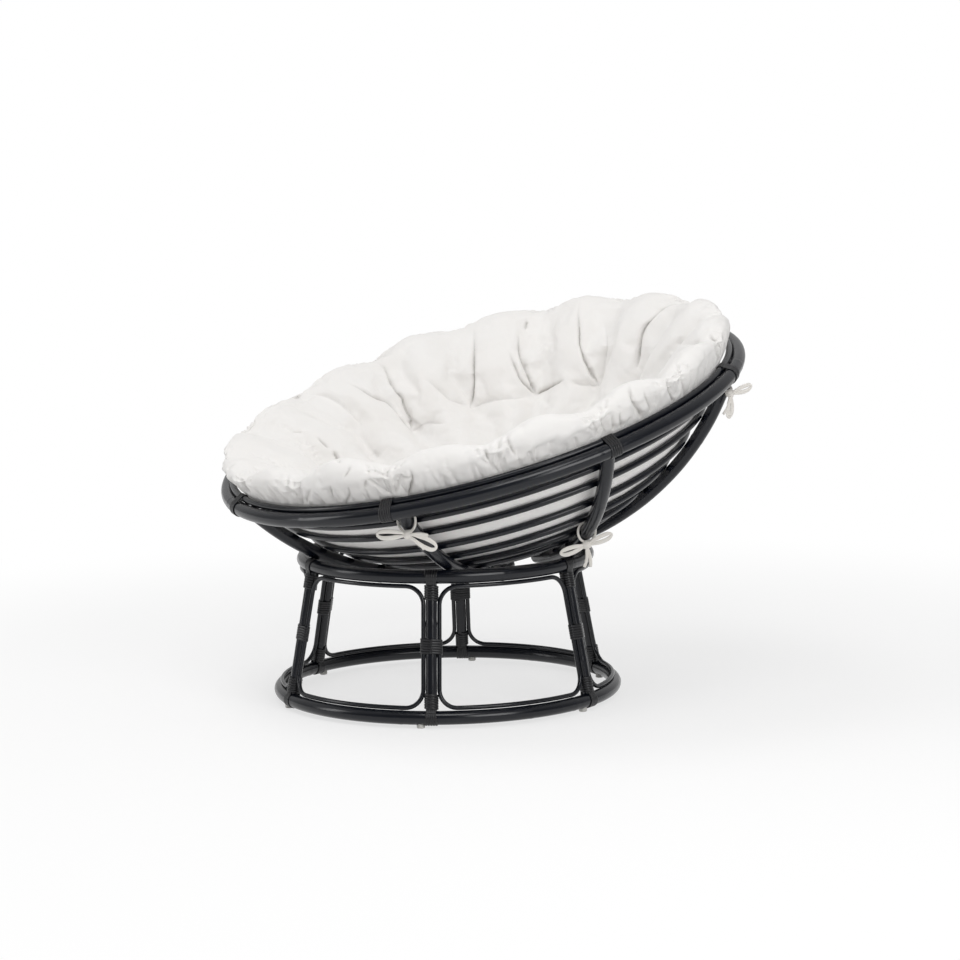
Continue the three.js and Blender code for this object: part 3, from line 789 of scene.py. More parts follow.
def build_stand():
    for name, node, radius, pole_radius, height in (
        ("floor_ring_pole", "floor_ring", FLOOR_RING_RADIUS, FLOOR_RING_POLE, FLOOR_RING_HEIGHT),
        ("seat_ring_pole", "seat_ring", SEAT_RING_RADIUS, SEAT_RING_POLE, SEAT_RING_HEIGHT),
    ):
        points = circle_points(radius, height, POLE_STEP) + STAND_AXIS
        pole(name, node, points, pole_radius, POLE_SIDES, "stand", closed=True)
    for i in range(LEG_COUNT):
        number = i + 1
        azimuth = FIRST_LEG_AZIMUTH + 360 * i / LEG_COUNT
        place = leg_frame(azimuth)
        leg(number, place)
        pole(f"window_frame_{number}", f"window_rod_{number}", window_line(azimuth + 180 / LEG_COUNT),
             WINDOW_ROD, ROD_SIDES, "stand", closed=True)
        waist_lashing(number, place)
        end_lashing(number, place, place["head"], -place["up"], SEAT_RING_POLE,
                    "top_winding", "top_lashing", pressed=True)
        end_lashing(number, place, place["foot"], place["up"], FLOOR_RING_POLE,
                    "foot_winding", "foot_lashing")
        glide(number, azimuth)


# The bowl


def rib_head_angle():
    return RIM_ANGLE - math.degrees((RIM_POLE + CLEARANCE) / RIM_SPHERE)


def rib(number, azimuth):
    angles = np.linspace(RIB_FOOT_SHARE * RIM_ANGLE, rib_head_angle() + RIB_OVERRUN,
                         round(RIB_LENGTH / POLE_STEP))
    points = in_row([bowl_point(RIB_SPHERE, angle, azimuth) for angle in angles])
    across = in_row(along_at(azimuth)) - PIVOT
    rim_centre = in_row(outwards_at(azimuth) * RIM_RADIUS - [0, 0, RIM_DEPTH])
    along = unit(points[-1] - points[-2])
    out = np.cross(along, across)

    def cope(rings):
        offset = (rings[-1] - rim_centre) @ out
        limit = -saddle(RIM_POLE, offset)
        for ring in rings[-RIB_CUT_RINGS:]:
            over = np.maximum((ring - rim_centre) @ along - limit, 0)
            ring -= over[:, None] * along

    pole(f"rib_pole_{number}", f"rib_{number}", points, RIB_POLE, POLE_SIDES, "bowl",
         first=across, shape_end=cope)


def hoop(name, node, angle):
    radius = HOOP_SPHERE * math.sin(math.radians(angle))
    height = -HOOP_SPHERE * math.cos(math.radians(angle))
    points = in_row(circle_points(radius, height, ROD_STEP))
    pole(name, node, points, HOOP_POLE, ROD_SIDES, "bowl", closed=True)


def inner_rim_place():
    reach = RIM_POLE + CLEARANCE + INNER_RIM_POLE
    turn = math.radians(INNER_RIM_ANGLE)
    return reach * math.cos(turn), reach * math.sin(turn)


def rim_lashing(number, azimuth):
    out, up = inner_rim_place()
    circles = ((0.0, 0.0, RIM_POLE), (out, up, INNER_RIM_POLE))
    turn = azimuth + math.degrees(RIM_LASH_SHIFTS[number - 1] / RIM_RADIUS)
    centre = outwards_at(turn) * RIM_RADIUS - [0, 0, RIM_DEPTH]
    skin = Skin()
    wound(skin, circles, centre, outwards_at(turn), np.array([0.0, 0.0, 1.0]), along_at(turn),
          RIM_LASH_TURNS, STRAND_PITCH, start=-math.pi / 2)
    skin.vertices = list(in_row(skin.vertices))
    settled(skin.finish(f"rim_winding_{number}", PEEL), "bowl")


def build_bowl_frame():
    pole("rim_ring_pole", "rim_pole", in_row(circle_points(RIM_RADIUS, -RIM_DEPTH, POLE_STEP)),
         RIM_POLE, POLE_SIDES, "bowl", closed=True)
    out, up = inner_rim_place()
    pole("inner_rim_rod", "inner_rim", in_row(circle_points(RIM_RADIUS + out, up - RIM_DEPTH, ROD_STEP)),
         INNER_RIM_POLE, ROD_SIDES, "bowl", closed=True)
    for i in range(RIB_COUNT):
        azimuth = FIRST_RIB_AZIMUTH + 360 * i / RIB_COUNT
        rib(i + 1, azimuth)
        rim_lashing(i + 1, azimuth)
    hoop("hub_rod", "hub_ring", HUB_SHARE * RIM_ANGLE)
    for i, angle in enumerate(HOOP_ANGLES):
        hoop(f"hoop_rod_{i + 1}", f"hoop_{i + 1}", angle)


# The cushion

UNDERSIDE_FROM = 1.0
UNDERSIDE_POINTS = 90
ROLL_POINTS = 60
SEAT_MIDDLE = 0.001
SEAT_STEP = 0.002
SECTION_STEP = 0.0005
# Along the section from the tufts: where the top ends and the cover's inset grows, and how far and how
# sharply a tuft draws the cover down
TOP_END = (0.30, 0.22)
INSET_GROWS = (0.03, 0.12)
TUFT_REACH = 0.17
TUFT_SHARPNESS = 1.5
# The seat's channels grow between these distances from the middle
SEAT_CHANNEL_GROWS = (0.12, 0.3)
# The cloth is held near the bowl, less and less between these distances off it, and so far below the rim.
# The rim holds a share of it, so far outside the roll's middle. A tuft holds what lies so far off the bowl.
HELD_OFF = (0.016, 0.004)
HELD_BELOW = 0.01
RIM_HOLD_OUT = 0.015
RIM_HOLD_SHARE = 0.9
TUFT_HOLD_OFF = 0.03


def roll_place(degrees):
    """A place on the roll at the cushion's edge, out from the bowl's axis and up from the rim."""
    angle = math.radians(degrees)
    return ROLL_AXIS_OUT + ROLL_RADIUS * math.cos(angle), ROLL_AXIS_UP + ROLL_RADIUS * math.sin(angle)


def cushion_section():
    """Half of the cushion's section as (out, up) over the rim's plane, from underneath to the top's
    middle, with the distance along it from the ring of tufts, positive towards the edge."""
    points = []
    for angle in np.radians(np.linspace(UNDERSIDE_FROM, HOOP_ANGLES[-1], UNDERSIDE_POINTS)):
        points.append((CUSHION_SPHERE * math.sin(angle), RIM_DEPTH - CUSHION_SPHERE * math.cos(angle)))
    points.extend(roll_place(angle) for angle in np.linspace(ROLL_FROM, ROLL_TO, ROLL_POINTS))
    last = np.array(points[-1])
    tuft = np.array([TUFT_RING_OUT, TUFT_RING_UP])
    seat_up = RIM_DEPTH - CUSHION_SPHERE + SEAT_THICKNESS
    half_way = np.array([TUFT_RING_OUT / 2, TUFT_RING_UP + (seat_up - TUFT_RING_UP) * SEAT_CROWN])
    inside = smooth_line([(*last, 0), (*((last + tuft) / 2), 0), (*tuft, 0), (*half_way, 0),
                          (SEAT_MIDDLE, seat_up, 0)], SEAT_STEP)
    points.extend((x, y) for x, y, _ in inside[1:])
    fine = resampled([(x, y, 0) for x, y in points], SECTION_STEP)
    along = lengths_along(fine, False)
    tuft_along = along[np.argmin(np.hypot(fine[:, 0] - tuft[0], fine[:, 1] - tuft[1]))]
    wanted = np.linspace(0, along[-1], CUSHION_ROWS)
    out = np.interp(wanted, along, fine[:, 0])
    up = np.interp(wanted, along, fine[:, 1])
    return out, up, tuft_along - wanted, wanted


def smooth_step(x, low, high):
    t = np.clip((x - low) / (high - low), 0, 1)
    return t * t * (3 - 2 * t)


def cushion_grid():
    """The cushion's plain form as rings of points in the bowl, with soft lobes between the tufts."""
    out, up, tuft_along, along = cushion_section()
    azimuths = FIRST_TUFT_AZIMUTH + 360 * np.arange(CUSHION_COLUMNS) / CUSHION_COLUMNS
    slopes = unit(np.column_stack([np.gradient(out), np.gradient(up)]))
    lobe = np.sin(math.pi * (azimuths - FIRST_TUFT_AZIMUTH) * TUFT_COUNT / 360) ** 2
    on_top = smooth_step(tuft_along, *TOP_END)
    near_tuft = np.clip(1 - np.abs(tuft_along) / TUFT_REACH, 0, 1) ** TUFT_SHARPNESS
    seat_channel = SEAT_CHANNEL_DEPTH * smooth_step(out, *SEAT_CHANNEL_GROWS)
    channel = np.where(tuft_along > 0, ROLL_CHANNEL_DEPTH, seat_channel)
    depth = on_top * (channel + (TUFT_DEPTH - channel) * near_tuft)
    sunk = depth[:, None] * (1 - lobe[None, :])
    sunk = sunk + COVER_INSET * smooth_step(tuft_along, *INSET_GROWS)[:, None] * on_top[:, None]
    across = out[:, None] - sunk * slopes[:, 1][:, None]
    height = up[:, None] + sunk * slopes[:, 0][:, None] - RIM_DEPTH
    turns = np.radians(azimuths)[None, :]
    return np.stack([across * np.cos(turns), across * np.sin(turns), height], axis=2), along


def vertex_places(mesh):
    places = np.empty(len(mesh.vertices) * 3)
    mesh.vertices.foreach_get("co", places)
    return places.reshape(-1, 3)


def vertex_normals(mesh):
    normals = np.empty(len(mesh.vertices) * 3)
    mesh.vertex_normals.foreach_get("vector", normals)
    return normals.reshape(-1, 3)


def move_vertices(made, places):
    made.data.vertices.foreach_set("co", np.asarray(places, float).ravel())
    made.data.update()


def shaped(made):
    """Gives an object the mesh that its modifiers make of it."""
    mesh = bpy.data.meshes.new_from_object(made.evaluated_get(bpy.context.evaluated_depsgraph_get()))
    made.modifiers.clear()
    made.data = mesh


def held_weights(places):
    """How firmly the cloth is held at each place in the bowl: wholly underneath and at each tuft."""
    reach = np.hypot(places[:, 0], places[:, 1])
    azimuth = np.degrees(np.arctan2(places[:, 1], places[:, 0]))
    phase = (azimuth - FIRST_TUFT_AZIMUTH) * TUFT_COUNT / 360
    aside = np.abs(phase - np.round(phase)) * math.radians(360 / TUFT_COUNT) * reach
    depth = np.linalg.norm(places, axis=1)
    beneath = smooth_step(depth, CUSHION_SPHERE - HELD_OFF[0], CUSHION_SPHERE - HELD_OFF[1])
    beneath = beneath * (places[:, 2] < -RIM_DEPTH - HELD_BELOW)
    low = places[:, 2] < ROLL_AXIS_UP - HELD_BELOW - RIM_DEPTH
    over_rim = (reach > ROLL_AXIS_OUT + RIM_HOLD_OUT) & low
    beneath = np.maximum(beneath, np.where(over_rim, RIM_HOLD_SHARE, 0.0))
    stitched = np.hypot(aside, reach - TUFT_RING_OUT) < TUFT_STITCH
    on_top = depth < CUSHION_SPHERE - TUFT_HOLD_OFF
    return np.where(stitched & on_top, 1.0, beneath)


def puff(made):
    """Lets the filling press the cover out as cloth, but no further than CLOTH_REACH."""
    before = vertex_places(made.data)
    weights = np.round(held_weights(before), 1)
    held = made.vertex_groups.new(name="held")
    for level in np.unique(weights[weights > 0]):
        held.add(np.nonzero(weights == level)[0].tolist(), float(level), "REPLACE")
    cloth = made.modifiers.new("cloth", "CLOTH")
    cloth.point_cache.frame_start = 1
    cloth.point_cache.frame_end = CLOTH_FRAMES
    cloth.collision_settings.use_collision = False
    for name, value in CLOTH_SETTINGS.items():
        setattr(cloth.settings, name, value)
    cloth.settings.vertex_group_mass = held.name
    cloth.settings.effector_weights.gravity = 0
    for number in range(1, CLOTH_FRAMES + 1):
        bpy.context.scene.frame_set(number)
    after = vertex_places(made.evaluated_get(bpy.context.evaluated_depsgraph_get()).data)
    made.modifiers.clear()
    made.vertex_groups.clear()
    bpy.context.scene.frame_set(1)
    moved = after - before
    distance = np.maximum(np.linalg.norm(moved, axis=1, keepdims=True), 1e-9)
    move_vertices(made, before + moved * np.minimum(1, CLOTH_REACH / distance))


# The weave is laid round an axis inside the roll
WEAVE_AXIS_INSET = 0.06
WEAVE_AXIS_UP = -0.02
# Folds of the cover as they show in the photo: the pixels that a fold runs through, its depth and
# its width. Each is deepest near its first pixel.
PHOTO_SIZE = 960
CRISP = (0.0130, 0.0038)
SOFT = (0.0080, 0.0085)
FINE = (0.0080, 0.0032)
PHOTO_FOLDS = [
    (CRISP, ((471, 407), (472.5, 385), (473.5, 350), (474, 325), (474.5, 316))),
    (SOFT, ((467, 404), (452, 399), (442, 391), (429, 381), (419, 378))),
    (CRISP, ((536, 394), (534, 388), (526.5, 371), (520, 351), (518, 328))),
    (CRISP, ((536, 394), (522, 379), (515, 366), (508, 349))),
    (FINE, ((527, 321), (525, 331))),
    (CRISP, ((598, 385), (585, 359), (579, 337), (578.5, 307), (583, 299))),
    (SOFT, ((600, 383), (603, 368), (606, 337), (604, 319))),
    (CRISP, ((637, 366), (640, 342), (647, 323), (665, 307), (683.5, 303))),
    (CRISP, ((412, 431), (411, 423), (404, 404), (401, 396), (392, 384), (384, 368), (370, 357))),
    (CRISP, ((412, 431), (399, 414), (386, 401), (374, 396), (358, 387), (343, 381))),
    (SOFT, ((361, 424), (353, 413), (336, 401), (323, 395), (303, 394))),
    (FINE, ((328, 447), (316, 436))),
    (CRISP, ((339, 462), (333, 449))),
    (FINE, ((350, 467), (343, 479))),
    (SOFT, ((373, 452), (380, 458))),
    (SOFT, ((472, 407), (496, 399), (518, 397), (536, 394))),
    (CRISP, ((536, 394), (552, 385), (566, 379))),
    (SOFT, ((598, 385), (582, 384), (566, 379))),
    (SOFT, ((412, 431), (427, 423), (449, 423))),
    (SOFT, ((701.6, 346), (690, 343), (672, 344))),
    (CRISP, ((709, 335), (720, 345), (726, 357))),
    (FINE, ((345, 505), (349, 494), (347, 484))),
    (FINE, ((332, 499), (330, 484))),
    (FINE, ((365, 489), (366, 479))),
    (SOFT, ((303, 507), (298, 490), (300, 472))),
    (CRISP, ((408, 497), (412, 480), (409, 467))),
    (FINE, ((402, 478), (413, 478))),
    (CRISP, ((490, 462), (486, 452), (485, 445))),
    (SOFT, ((499, 474), (490, 460))),
    (FINE, ((515, 455), (509, 444), (505, 433))),
    (FINE, ((600, 434), (590, 416))),
    (FINE, ((606, 433), (600, 414))),
    (FINE, ((614, 430), (612, 413))),
    (FINE, ((622, 428), (620, 411))),
    (CRISP, ((644, 419), (634, 402), (628, 381))),
    (FINE, ((652, 412), (643, 388))),
    (CRISP, ((675, 404), (670, 388), (668, 371))),
    (FINE, ((686, 398), (682, 376))),
]


# A fold's strength at its start, over how much of its length it grows from there, and where it begins to
# fade. A fold is felt as far away as so many times its width, and the painted shade in its creases as far
# away as so many times that shade's width.
FOLD_START = 0.35
FOLD_GROWTH = 0.65
FOLD_GROWS_TO = 0.12
FOLD_FADES_FROM = 0.55
FOLD_SPAN = 5
PAINTED_SHADE_SPAN = 4
# Folds from the tufts that the camera doesn't see: how many, their bend in degrees and their length as a
# share of the way to the edge. The straighter ones are crisp.
UNSEEN_TUFTS = (0, 1, 2, 3, 13, 14, 15)
TUFT_FOLDS = 3
TUFT_FOLD_BEND = 6
TUFT_FOLD_LENGTH = (0.5, 1)
TUFT_FOLD_POINTS = 24
STRAIGHT_BEND = 3
# Gathers between the lobes: their number, spread and play in degrees, the degrees up the roll where they
# start and that they cover, and their depth and width
NOTCH_GATHERS = 7
NOTCH_SPREAD = 5.5
NOTCH_PLAY = 0.6
NOTCH_START = 8
NOTCH_COVERS = (60, 125)
NOTCH_POINTS = 20
NOTCH_FOLD = ((0.007, 0.012), (0.0035, 0.005))
# Gathers at the seam under the roll: their spacing in degrees, the play in it as a share, their slant,
# their length and the degrees up the roll of a whole one, and their depth and width
EDGE_GATHER_STEP = 2.4
EDGE_PLAY = 0.5
EDGE_SLANT = 1.2
EDGE_LENGTH = (0.35, 1.3)
EDGE_COVERS = 95
EDGE_POINTS = 16
EDGE_FOLD = ((0.003, 0.008), (0.003, 0.007))


def sight_line(pixel):
    """The direction from the camera through a pixel of the photo."""
    view = bpy.context.scene.camera
    focal = PHOTO_SIZE * view.data.lens / view.data.sensor_width
    x = (pixel[0] - PHOTO_SIZE / 2) / focal
    y = (PHOTO_SIZE / 2 - pixel[1]) / focal
    return (view.matrix_world.to_3x3() @ Vector((x, y, -1))).normalized()


def photo_folds(tree):
    """The photo's folds as lines on the cover, found along the lines of sight."""
    lines = []
    for (depth, width), pixels in PHOTO_FOLDS:
        flat = smooth_line([(x, y, 0) for x, y in pixels], 1.0)
        hits = [tree.ray_cast(Vector(CAMERA_PLACE), sight_line(pixel))[0] for pixel in flat]
        points = np.array([hit for hit in hits if hit is not None])
        if len(points) > 2:
            lines.append((depth, width, points))
    return lines


def drawn(ranges):
    """A random number from each range."""
    return [chance.uniform(low, high) for low, high in ranges]


def gather(on_cover, azimuth, lean, start, reach, count):
    """A line up the roll from a start angle, over some degrees, that leans to one side."""
    return np.array([on_cover(azimuth + lean * t, *roll_place(start + reach * t))
                     for t in np.linspace(0, 1, count)])


def sewn_folds(tree):
    """Folds that run out from the tufts which the camera doesn't see, and gathers at the edge."""
    lines = []
    step = 360 / TUFT_COUNT

    def on_cover(azimuth, out, up):
        place = in_row(outwards_at(azimuth) * out + [0, 0, up - RIM_DEPTH])
        return tree.find_nearest(Vector(place))[0]

    for tuft in UNSEEN_TUFTS:
        azimuth = FIRST_TUFT_AZIMUTH + step * tuft
        for _ in range(TUFT_FOLDS):
            bend = chance.uniform(-TUFT_FOLD_BEND, TUFT_FOLD_BEND)
            length = chance.uniform(*TUFT_FOLD_LENGTH)
            points = []
            for t in np.linspace(0, length, TUFT_FOLD_POINTS):
                rise = math.sin(t * math.pi / 2)
                out = TUFT_RING_OUT + (ROLL_AXIS_OUT - TUFT_RING_OUT) * t
                up = TUFT_RING_UP + (ROLL_AXIS_UP + ROLL_RADIUS - TUFT_RING_UP) * rise
                points.append(on_cover(azimuth + bend * rise, out, up))
            depth, width = CRISP if abs(bend) < STRAIGHT_BEND else SOFT
            lines.append((depth, width, np.array(points)))
    for tuft in range(TUFT_COUNT):
        for lean in np.linspace(-NOTCH_SPREAD, NOTCH_SPREAD, NOTCH_GATHERS):
            azimuth = FIRST_TUFT_AZIMUTH + step * tuft + chance.uniform(-NOTCH_PLAY, NOTCH_PLAY)
            covers = chance.uniform(*NOTCH_COVERS)
            points = gather(on_cover, azimuth, lean, ROLL_FROM + NOTCH_START, covers, NOTCH_POINTS)
            lines.append((*drawn(NOTCH_FOLD), points))
    for azimuth in np.arange(0, 360, EDGE_GATHER_STEP):
        turn = azimuth + chance.uniform(-EDGE_PLAY, EDGE_PLAY) * EDGE_GATHER_STEP
        slant = chance.uniform(-EDGE_SLANT, EDGE_SLANT)
        length = chance.uniform(*EDGE_LENGTH)
        points = gather(on_cover, turn, slant * length, ROLL_FROM, EDGE_COVERS * length, EDGE_POINTS)
        lines.append((*drawn(EDGE_FOLD), points))
    return lines


def near_fold(places, points, span):
    """The numbers of the places near a fold, how far each lies from it, and how strong it is there:
    deepest near its start and fading to nothing at its end."""
    above = np.all(places > points.min(axis=0) - span, axis=1)
    below = np.all(places < points.max(axis=0) + span, axis=1)
    index = np.nonzero(above & below)[0]
    if not len(index):
        return index, np.zeros(0), np.zeros(0)
    gaps = np.linalg.norm(places[index, None, :] - points[None, :, :], axis=2)
    nearest = np.argmin(gaps, axis=1)
    along = nearest / max(1, len(points) - 1)
    grown = FOLD_START + FOLD_GROWTH * smooth_step(along, 0, FOLD_GROWS_TO)
    strength = smooth_step(along, 1.0, FOLD_FADES_FROM) * grown
    return index, gaps[np.arange(len(index)), nearest], strength


def folded(places, normals, lines):
    """Presses each fold into the cover."""
    sunk = np.zeros(len(places))
    for depth, width, points in lines:
        span = FOLD_SPAN * width
        index, gap, strength = near_fold(places, points, span)
        sides = np.maximum(0, 1 - gap / span)
        sunk[index] = np.maximum(sunk[index], depth * strength * np.exp(-gap / width) * sides)
    return places - normals * sunk[:, None]


def painted_crease_shades(places, lines):
    """How much painted shade each place gets in the cover's creases, from 0 to 1."""
    painted_crease_shade = np.zeros(len(places))
    for depth, width, points in lines:
        index, gap, strength = near_fold(places, points, PAINTED_SHADE_SPAN * PAINTED_SHADE_WIDTH)
        shade = PAINTED_SHADE_STRENGTH * strength * (PAINTED_SHADE_WIDTH / width) * (depth / CRISP[0])
        painted_crease_shade[index] = np.maximum(painted_crease_shade[index], shade * np.exp(-((gap / PAINTED_SHADE_WIDTH) ** 2)))
    return np.minimum(painted_crease_shade, 1)


def crumpled(places, normals):
    """Small uneven creases all over the cloth."""
    rise = np.zeros(len(places))
    for size, height in CRUMPLES:
        values = np.array([noise.noise(Vector(place)) for place in (places / size).tolist()])
        rise += height * (CRUMPLE_LEVEL - np.abs(values))
    return places + normals * rise[:, None]


def lobed(places, normals):
    """Raises the cushion's edge over each lobe and draws it in between them. Places are in the bowl."""
    reach = np.hypot(places[:, 0], places[:, 1])
    up = places[:, 2] + RIM_DEPTH
    azimuth = np.degrees(np.arctan2(places[:, 1], places[:, 0]))
    phase = ((azimuth - FIRST_TUFT_AZIMUTH) * TUFT_COUNT / 360) % TUFT_COUNT
    rises = np.interp(phase, np.arange(TUFT_COUNT) + 0.5, LOBE_RISES, period=TUFT_COUNT)
    notches = NOTCH_DEPTH * (1 - np.abs(np.sin(math.pi * phase)) ** NOTCH_SHARPNESS)
    height = (up - TUFT_RING_UP) / (ROLL_AXIS_UP + ROLL_RADIUS - TUFT_RING_UP)
    angle = np.degrees(np.arctan2(up - ROLL_AXIS_UP, reach - ROLL_AXIS_OUT))
    outside = np.where(reach > ROLL_AXIS_OUT, smooth_step(angle, *LOBE_ENDS), 1)
    share = smooth_step(height, *LOBE_SETS_IN) * outside * (1 - held_weights(places))
    return places + normals * ((rises - notches) * share)[:, None]


def cover_uvs(mesh):
    """Weave coordinates in metres: round the bowl's axis, and along the cushion's section."""
    out, up, _, along = cushion_section()
    axis_out = ROLL_AXIS_OUT - WEAVE_AXIS_INSET
    places = (vertex_places(mesh) - PIVOT) @ BOWL_TURN
    azimuth = np.arctan2(places[:, 1], places[:, 0])
    section = np.arctan2(places[:, 2] + RIM_DEPTH - WEAVE_AXIS_UP,
                         np.hypot(places[:, 0], places[:, 1]) - axis_out)
    known = np.unwrap(np.arctan2(up - WEAVE_AXIS_UP, out - axis_out))
    section = (section - known[0]) % (2 * math.pi) + known[0]
    distance = np.interp(section, known, along)
    corners = np.empty(len(mesh.loops), int)
    mesh.loops.foreach_get("vertex_index", corners)
    faces = np.repeat(np.arange(len(mesh.polygons)), [len(p.vertices) for p in mesh.polygons])
    starts = np.searchsorted(faces, np.arange(len(mesh.polygons)))
    around = azimuth[corners]
    first = around[starts][faces]
    around = around - 2 * math.pi * np.round((around - first) / (2 * math.pi))
    layer = mesh.uv_layers.new(name="weave")
    layer.data.foreach_set("uv", np.column_stack([around * ROLL_AXIS_OUT, distance[corners]]).ravel())


def cushion():
    rings, along = cushion_grid()
    skin = Skin()
    skin.add(rings, np.zeros(CUSHION_COLUMNS + 1), along)
    made = skin.finish("cushion_cover", CANVAS)
    even = made.modifiers.new("even", "REMESH")
    even.mode = "VOXEL"
    even.voxel_size = COVER_GRID
    shaped(made)
    puff(made)
    move_vertices(made, lobed(vertex_places(made.data), vertex_normals(made.data)))
    move_vertices(made, in_row(vertex_places(made.data)))
    finer = made.modifiers.new("finer", "SUBSURF")
    finer.levels = 2
    shaped(made)
    mesh = made.data
    faces = [tuple(face.vertices) for face in mesh.polygons]
    tree = BVHTree.FromPolygons(vertex_places(mesh).tolist(), faces)
    seen_folds = photo_folds(tree)
    places = crumpled(vertex_places(mesh), vertex_normals(mesh))
    # The shade painted into the creases is worked out before the folds move the cover, and kept on the mesh
    # for the canvas
    painted_crease_shade = painted_crease_shades(places, seen_folds)
    move_vertices(made, folded(places, vertex_normals(mesh), seen_folds + sewn_folds(tree)))
    mesh.attributes.new("painted_crease_shade", "FLOAT", "POINT").data.foreach_set("value", painted_crease_shade)
    for old in list(mesh.uv_layers):
        mesh.uv_layers.remove(old)
    cover_uvs(mesh)
    mesh.polygons.foreach_set("use_smooth", np.full(len(mesh.polygons), True))
    mesh.update()
    return settled(made, "bowl", "cushion")


# The ties


def tape(name, line, facing, width, folded_back=False):
    """A flat tape along a line, gathered at its start, and at its end too where it is folded back."""
    along = lengths_along(line, False)
    share = along / along[-1]
    spread = TAPE_GATHERED + TAPE_GAIN * smooth_step(share, 0, TAPE_GAINS_TO)
    if folded_back:
        last = TAPE_GATHERED + TAPE_GAIN * smooth_step(share, 1, 1 - TAPE_GAINS_TO)
        from_fold = (share - 0.5) / TAPE_FOLD_SHARE
        spread = np.minimum(spread, last) * (1 - TAPE_FOLD_LOSS * np.exp(-(from_fold ** 2)))
    tangents = tangents_of(line, False)
    out = unit(facing - tangents * (tangents @ facing)[:, None])
    across = np.cross(out, tangents)
    turns = 2 * math.pi * np.arange(TAPE_SIDES) / TAPE_SIDES
    rings = (line[:, None, :]
             + (width / 2 * spread)[:, None, None] * across[:, None, :] * np.cos(turns)[None, :, None]
             + TAPE_THICKNESS / 2 * out[:, None, :] * np.sin(turns)[None, :, None])
    skin = Skin()
    skin.add(rings, width * np.arange(TAPE_SIDES + 1) / (TAPE_SIDES / 2), along)
    return skin.finish(name, COTTON)


def rotation(axis, degrees):
    return np.array(Matrix.Rotation(math.radians(degrees), 3, axis))


def tie_knot(name, middle, laid):
    """A ball with the tape's turns showing on it."""
    rings = []
    for level in np.linspace(-1, 1, KNOT_RINGS):
        ring = []
        for turn in 2 * math.pi * np.arange(KNOT_SIDES) / KNOT_SIDES:
            wrap = 1 + KNOT_RIDGE * math.sin(KNOT_WRAPS * turn + KNOT_LEAN * level)
            radius = TIE_KNOT * wrap * math.sqrt(max(1 - level ** 2, KNOT_TIP))
            height = level * TIE_KNOT * KNOT_FLATNESS
            ring.append(middle + [radius * math.cos(turn), radius * math.sin(turn), height])
        rings.append(ring)
    rings = np.array(rings)
    skin = Skin()
    around = 2 * math.pi * TIE_KNOT * np.arange(KNOT_SIDES + 1) / KNOT_SIDES
    skin.add(laid(rings.reshape(-1, 3)).reshape(rings.shape), around, 0.001 * np.arange(KNOT_RINGS))
    return skin.finish(name, COTTON)


def tie_bow(number, tie):
    node = f"tie_bow_{number}"
    azimuth = FIRST_RIB_AZIMUTH + 360 * (tie["rib"] - 1) / RIB_COUNT
    angle = tie["share"] * RIM_ANGLE
    upright = in_row(bowl_point(1, angle, azimuth)) - PIVOT
    lean = 90 - math.degrees(math.acos(-upright[2]))
    swing = math.radians(tie["turn"])
    slope = math.radians(angle)
    radial = outwards_at(azimuth)
    basis = np.array([
        -along_at(azimuth),
        radial * math.sin(slope) + [0, 0, -math.cos(slope)],
        radial * math.cos(slope) + [0, 0, math.sin(slope)],
    ])

    def laid(points):
        """Points across the rib, out from it and up along it, in the row frame."""
        return in_row(np.asarray(points) @ basis + bowl_point(RIB_SPHERE, angle, azimuth))

    knot_out = RIB_POLE + CLEARANCE + TIE_KNOT
    knot_place = knot_out * np.array([math.sin(swing), math.cos(swing), 0])
    turned = rotation("X", lean) @ rotation("Z", -tie["turn"])

    def strand(route, side, droop, reach=1.0, opened=1.0):
        points = np.array([(side * reach * across, out, opened * up) for across, up, out in route])
        return laid(points @ (turned @ rotation("Y", side * droop)).T + knot_place)

    knot = settled(tie_knot(f"tie_knot_{number}", knot_place, laid), "bowl", node)
    climb = math.tan(math.radians(tie["rise"]))
    reach = RIB_POLE + CLEARANCE + TIE_CORD
    reach += (2 * climb * reach) ** 2 / RIB_SPHERE
    turns = np.linspace(0, 2 * math.pi, BAND_POINTS + 1)[:-1]
    band_points = laid([
        (reach * math.sin(turn + swing), reach * math.cos(turn + swing),
         climb * reach * (1 - math.cos(turn)))
        for turn in turns
    ])
    band_skin = Skin()
    surface = pole_skin(band_points, BAND_RADIUS, BAND_SIDES, closed=True, plain=True)
    band_skin.add(*surface, closed_along=True)
    band = settled(band_skin.finish(f"tie_band_{number}", COTTON), "bowl", node)
    facing = laid([turned @ (0, 1, 0)])[0] - laid([(0, 0, 0)])[0]
    loops = zip(("left", "right"), (1, -1), tie["droops"], tie["reaches"], tie["opens"])
    routes = [(f"{name}_loop", strand(LOOP_ROUTE, *how), "object") for name, *how in loops]
    routes += [(f"{name}_tail", strand(TAIL_ROUTE, -1, -turn), "bare")
               for name, turn in zip(("first", "second"), tie["tail_turns"])]
    for name, points, far_end in routes:
        is_loop = far_end == "object"
        width = LOOP_WIDTH if is_loop else TAIL_WIDTH
        line = smooth_line(points, TAPE_STEP)
        made = tape(f"tie_{name}_{number}", line, facing, width, folded_back=is_loop)
        settled(made, "bowl", node)


# Camera, lights and floor


def direction(heading, rise):
    """A direction from its heading and its rise above the level, in degrees."""
    turn = math.radians(heading)
    slope = math.radians(rise)
    return math.cos(turn) * math.cos(slope), math.sin(turn) * math.cos(slope), math.sin(slope)


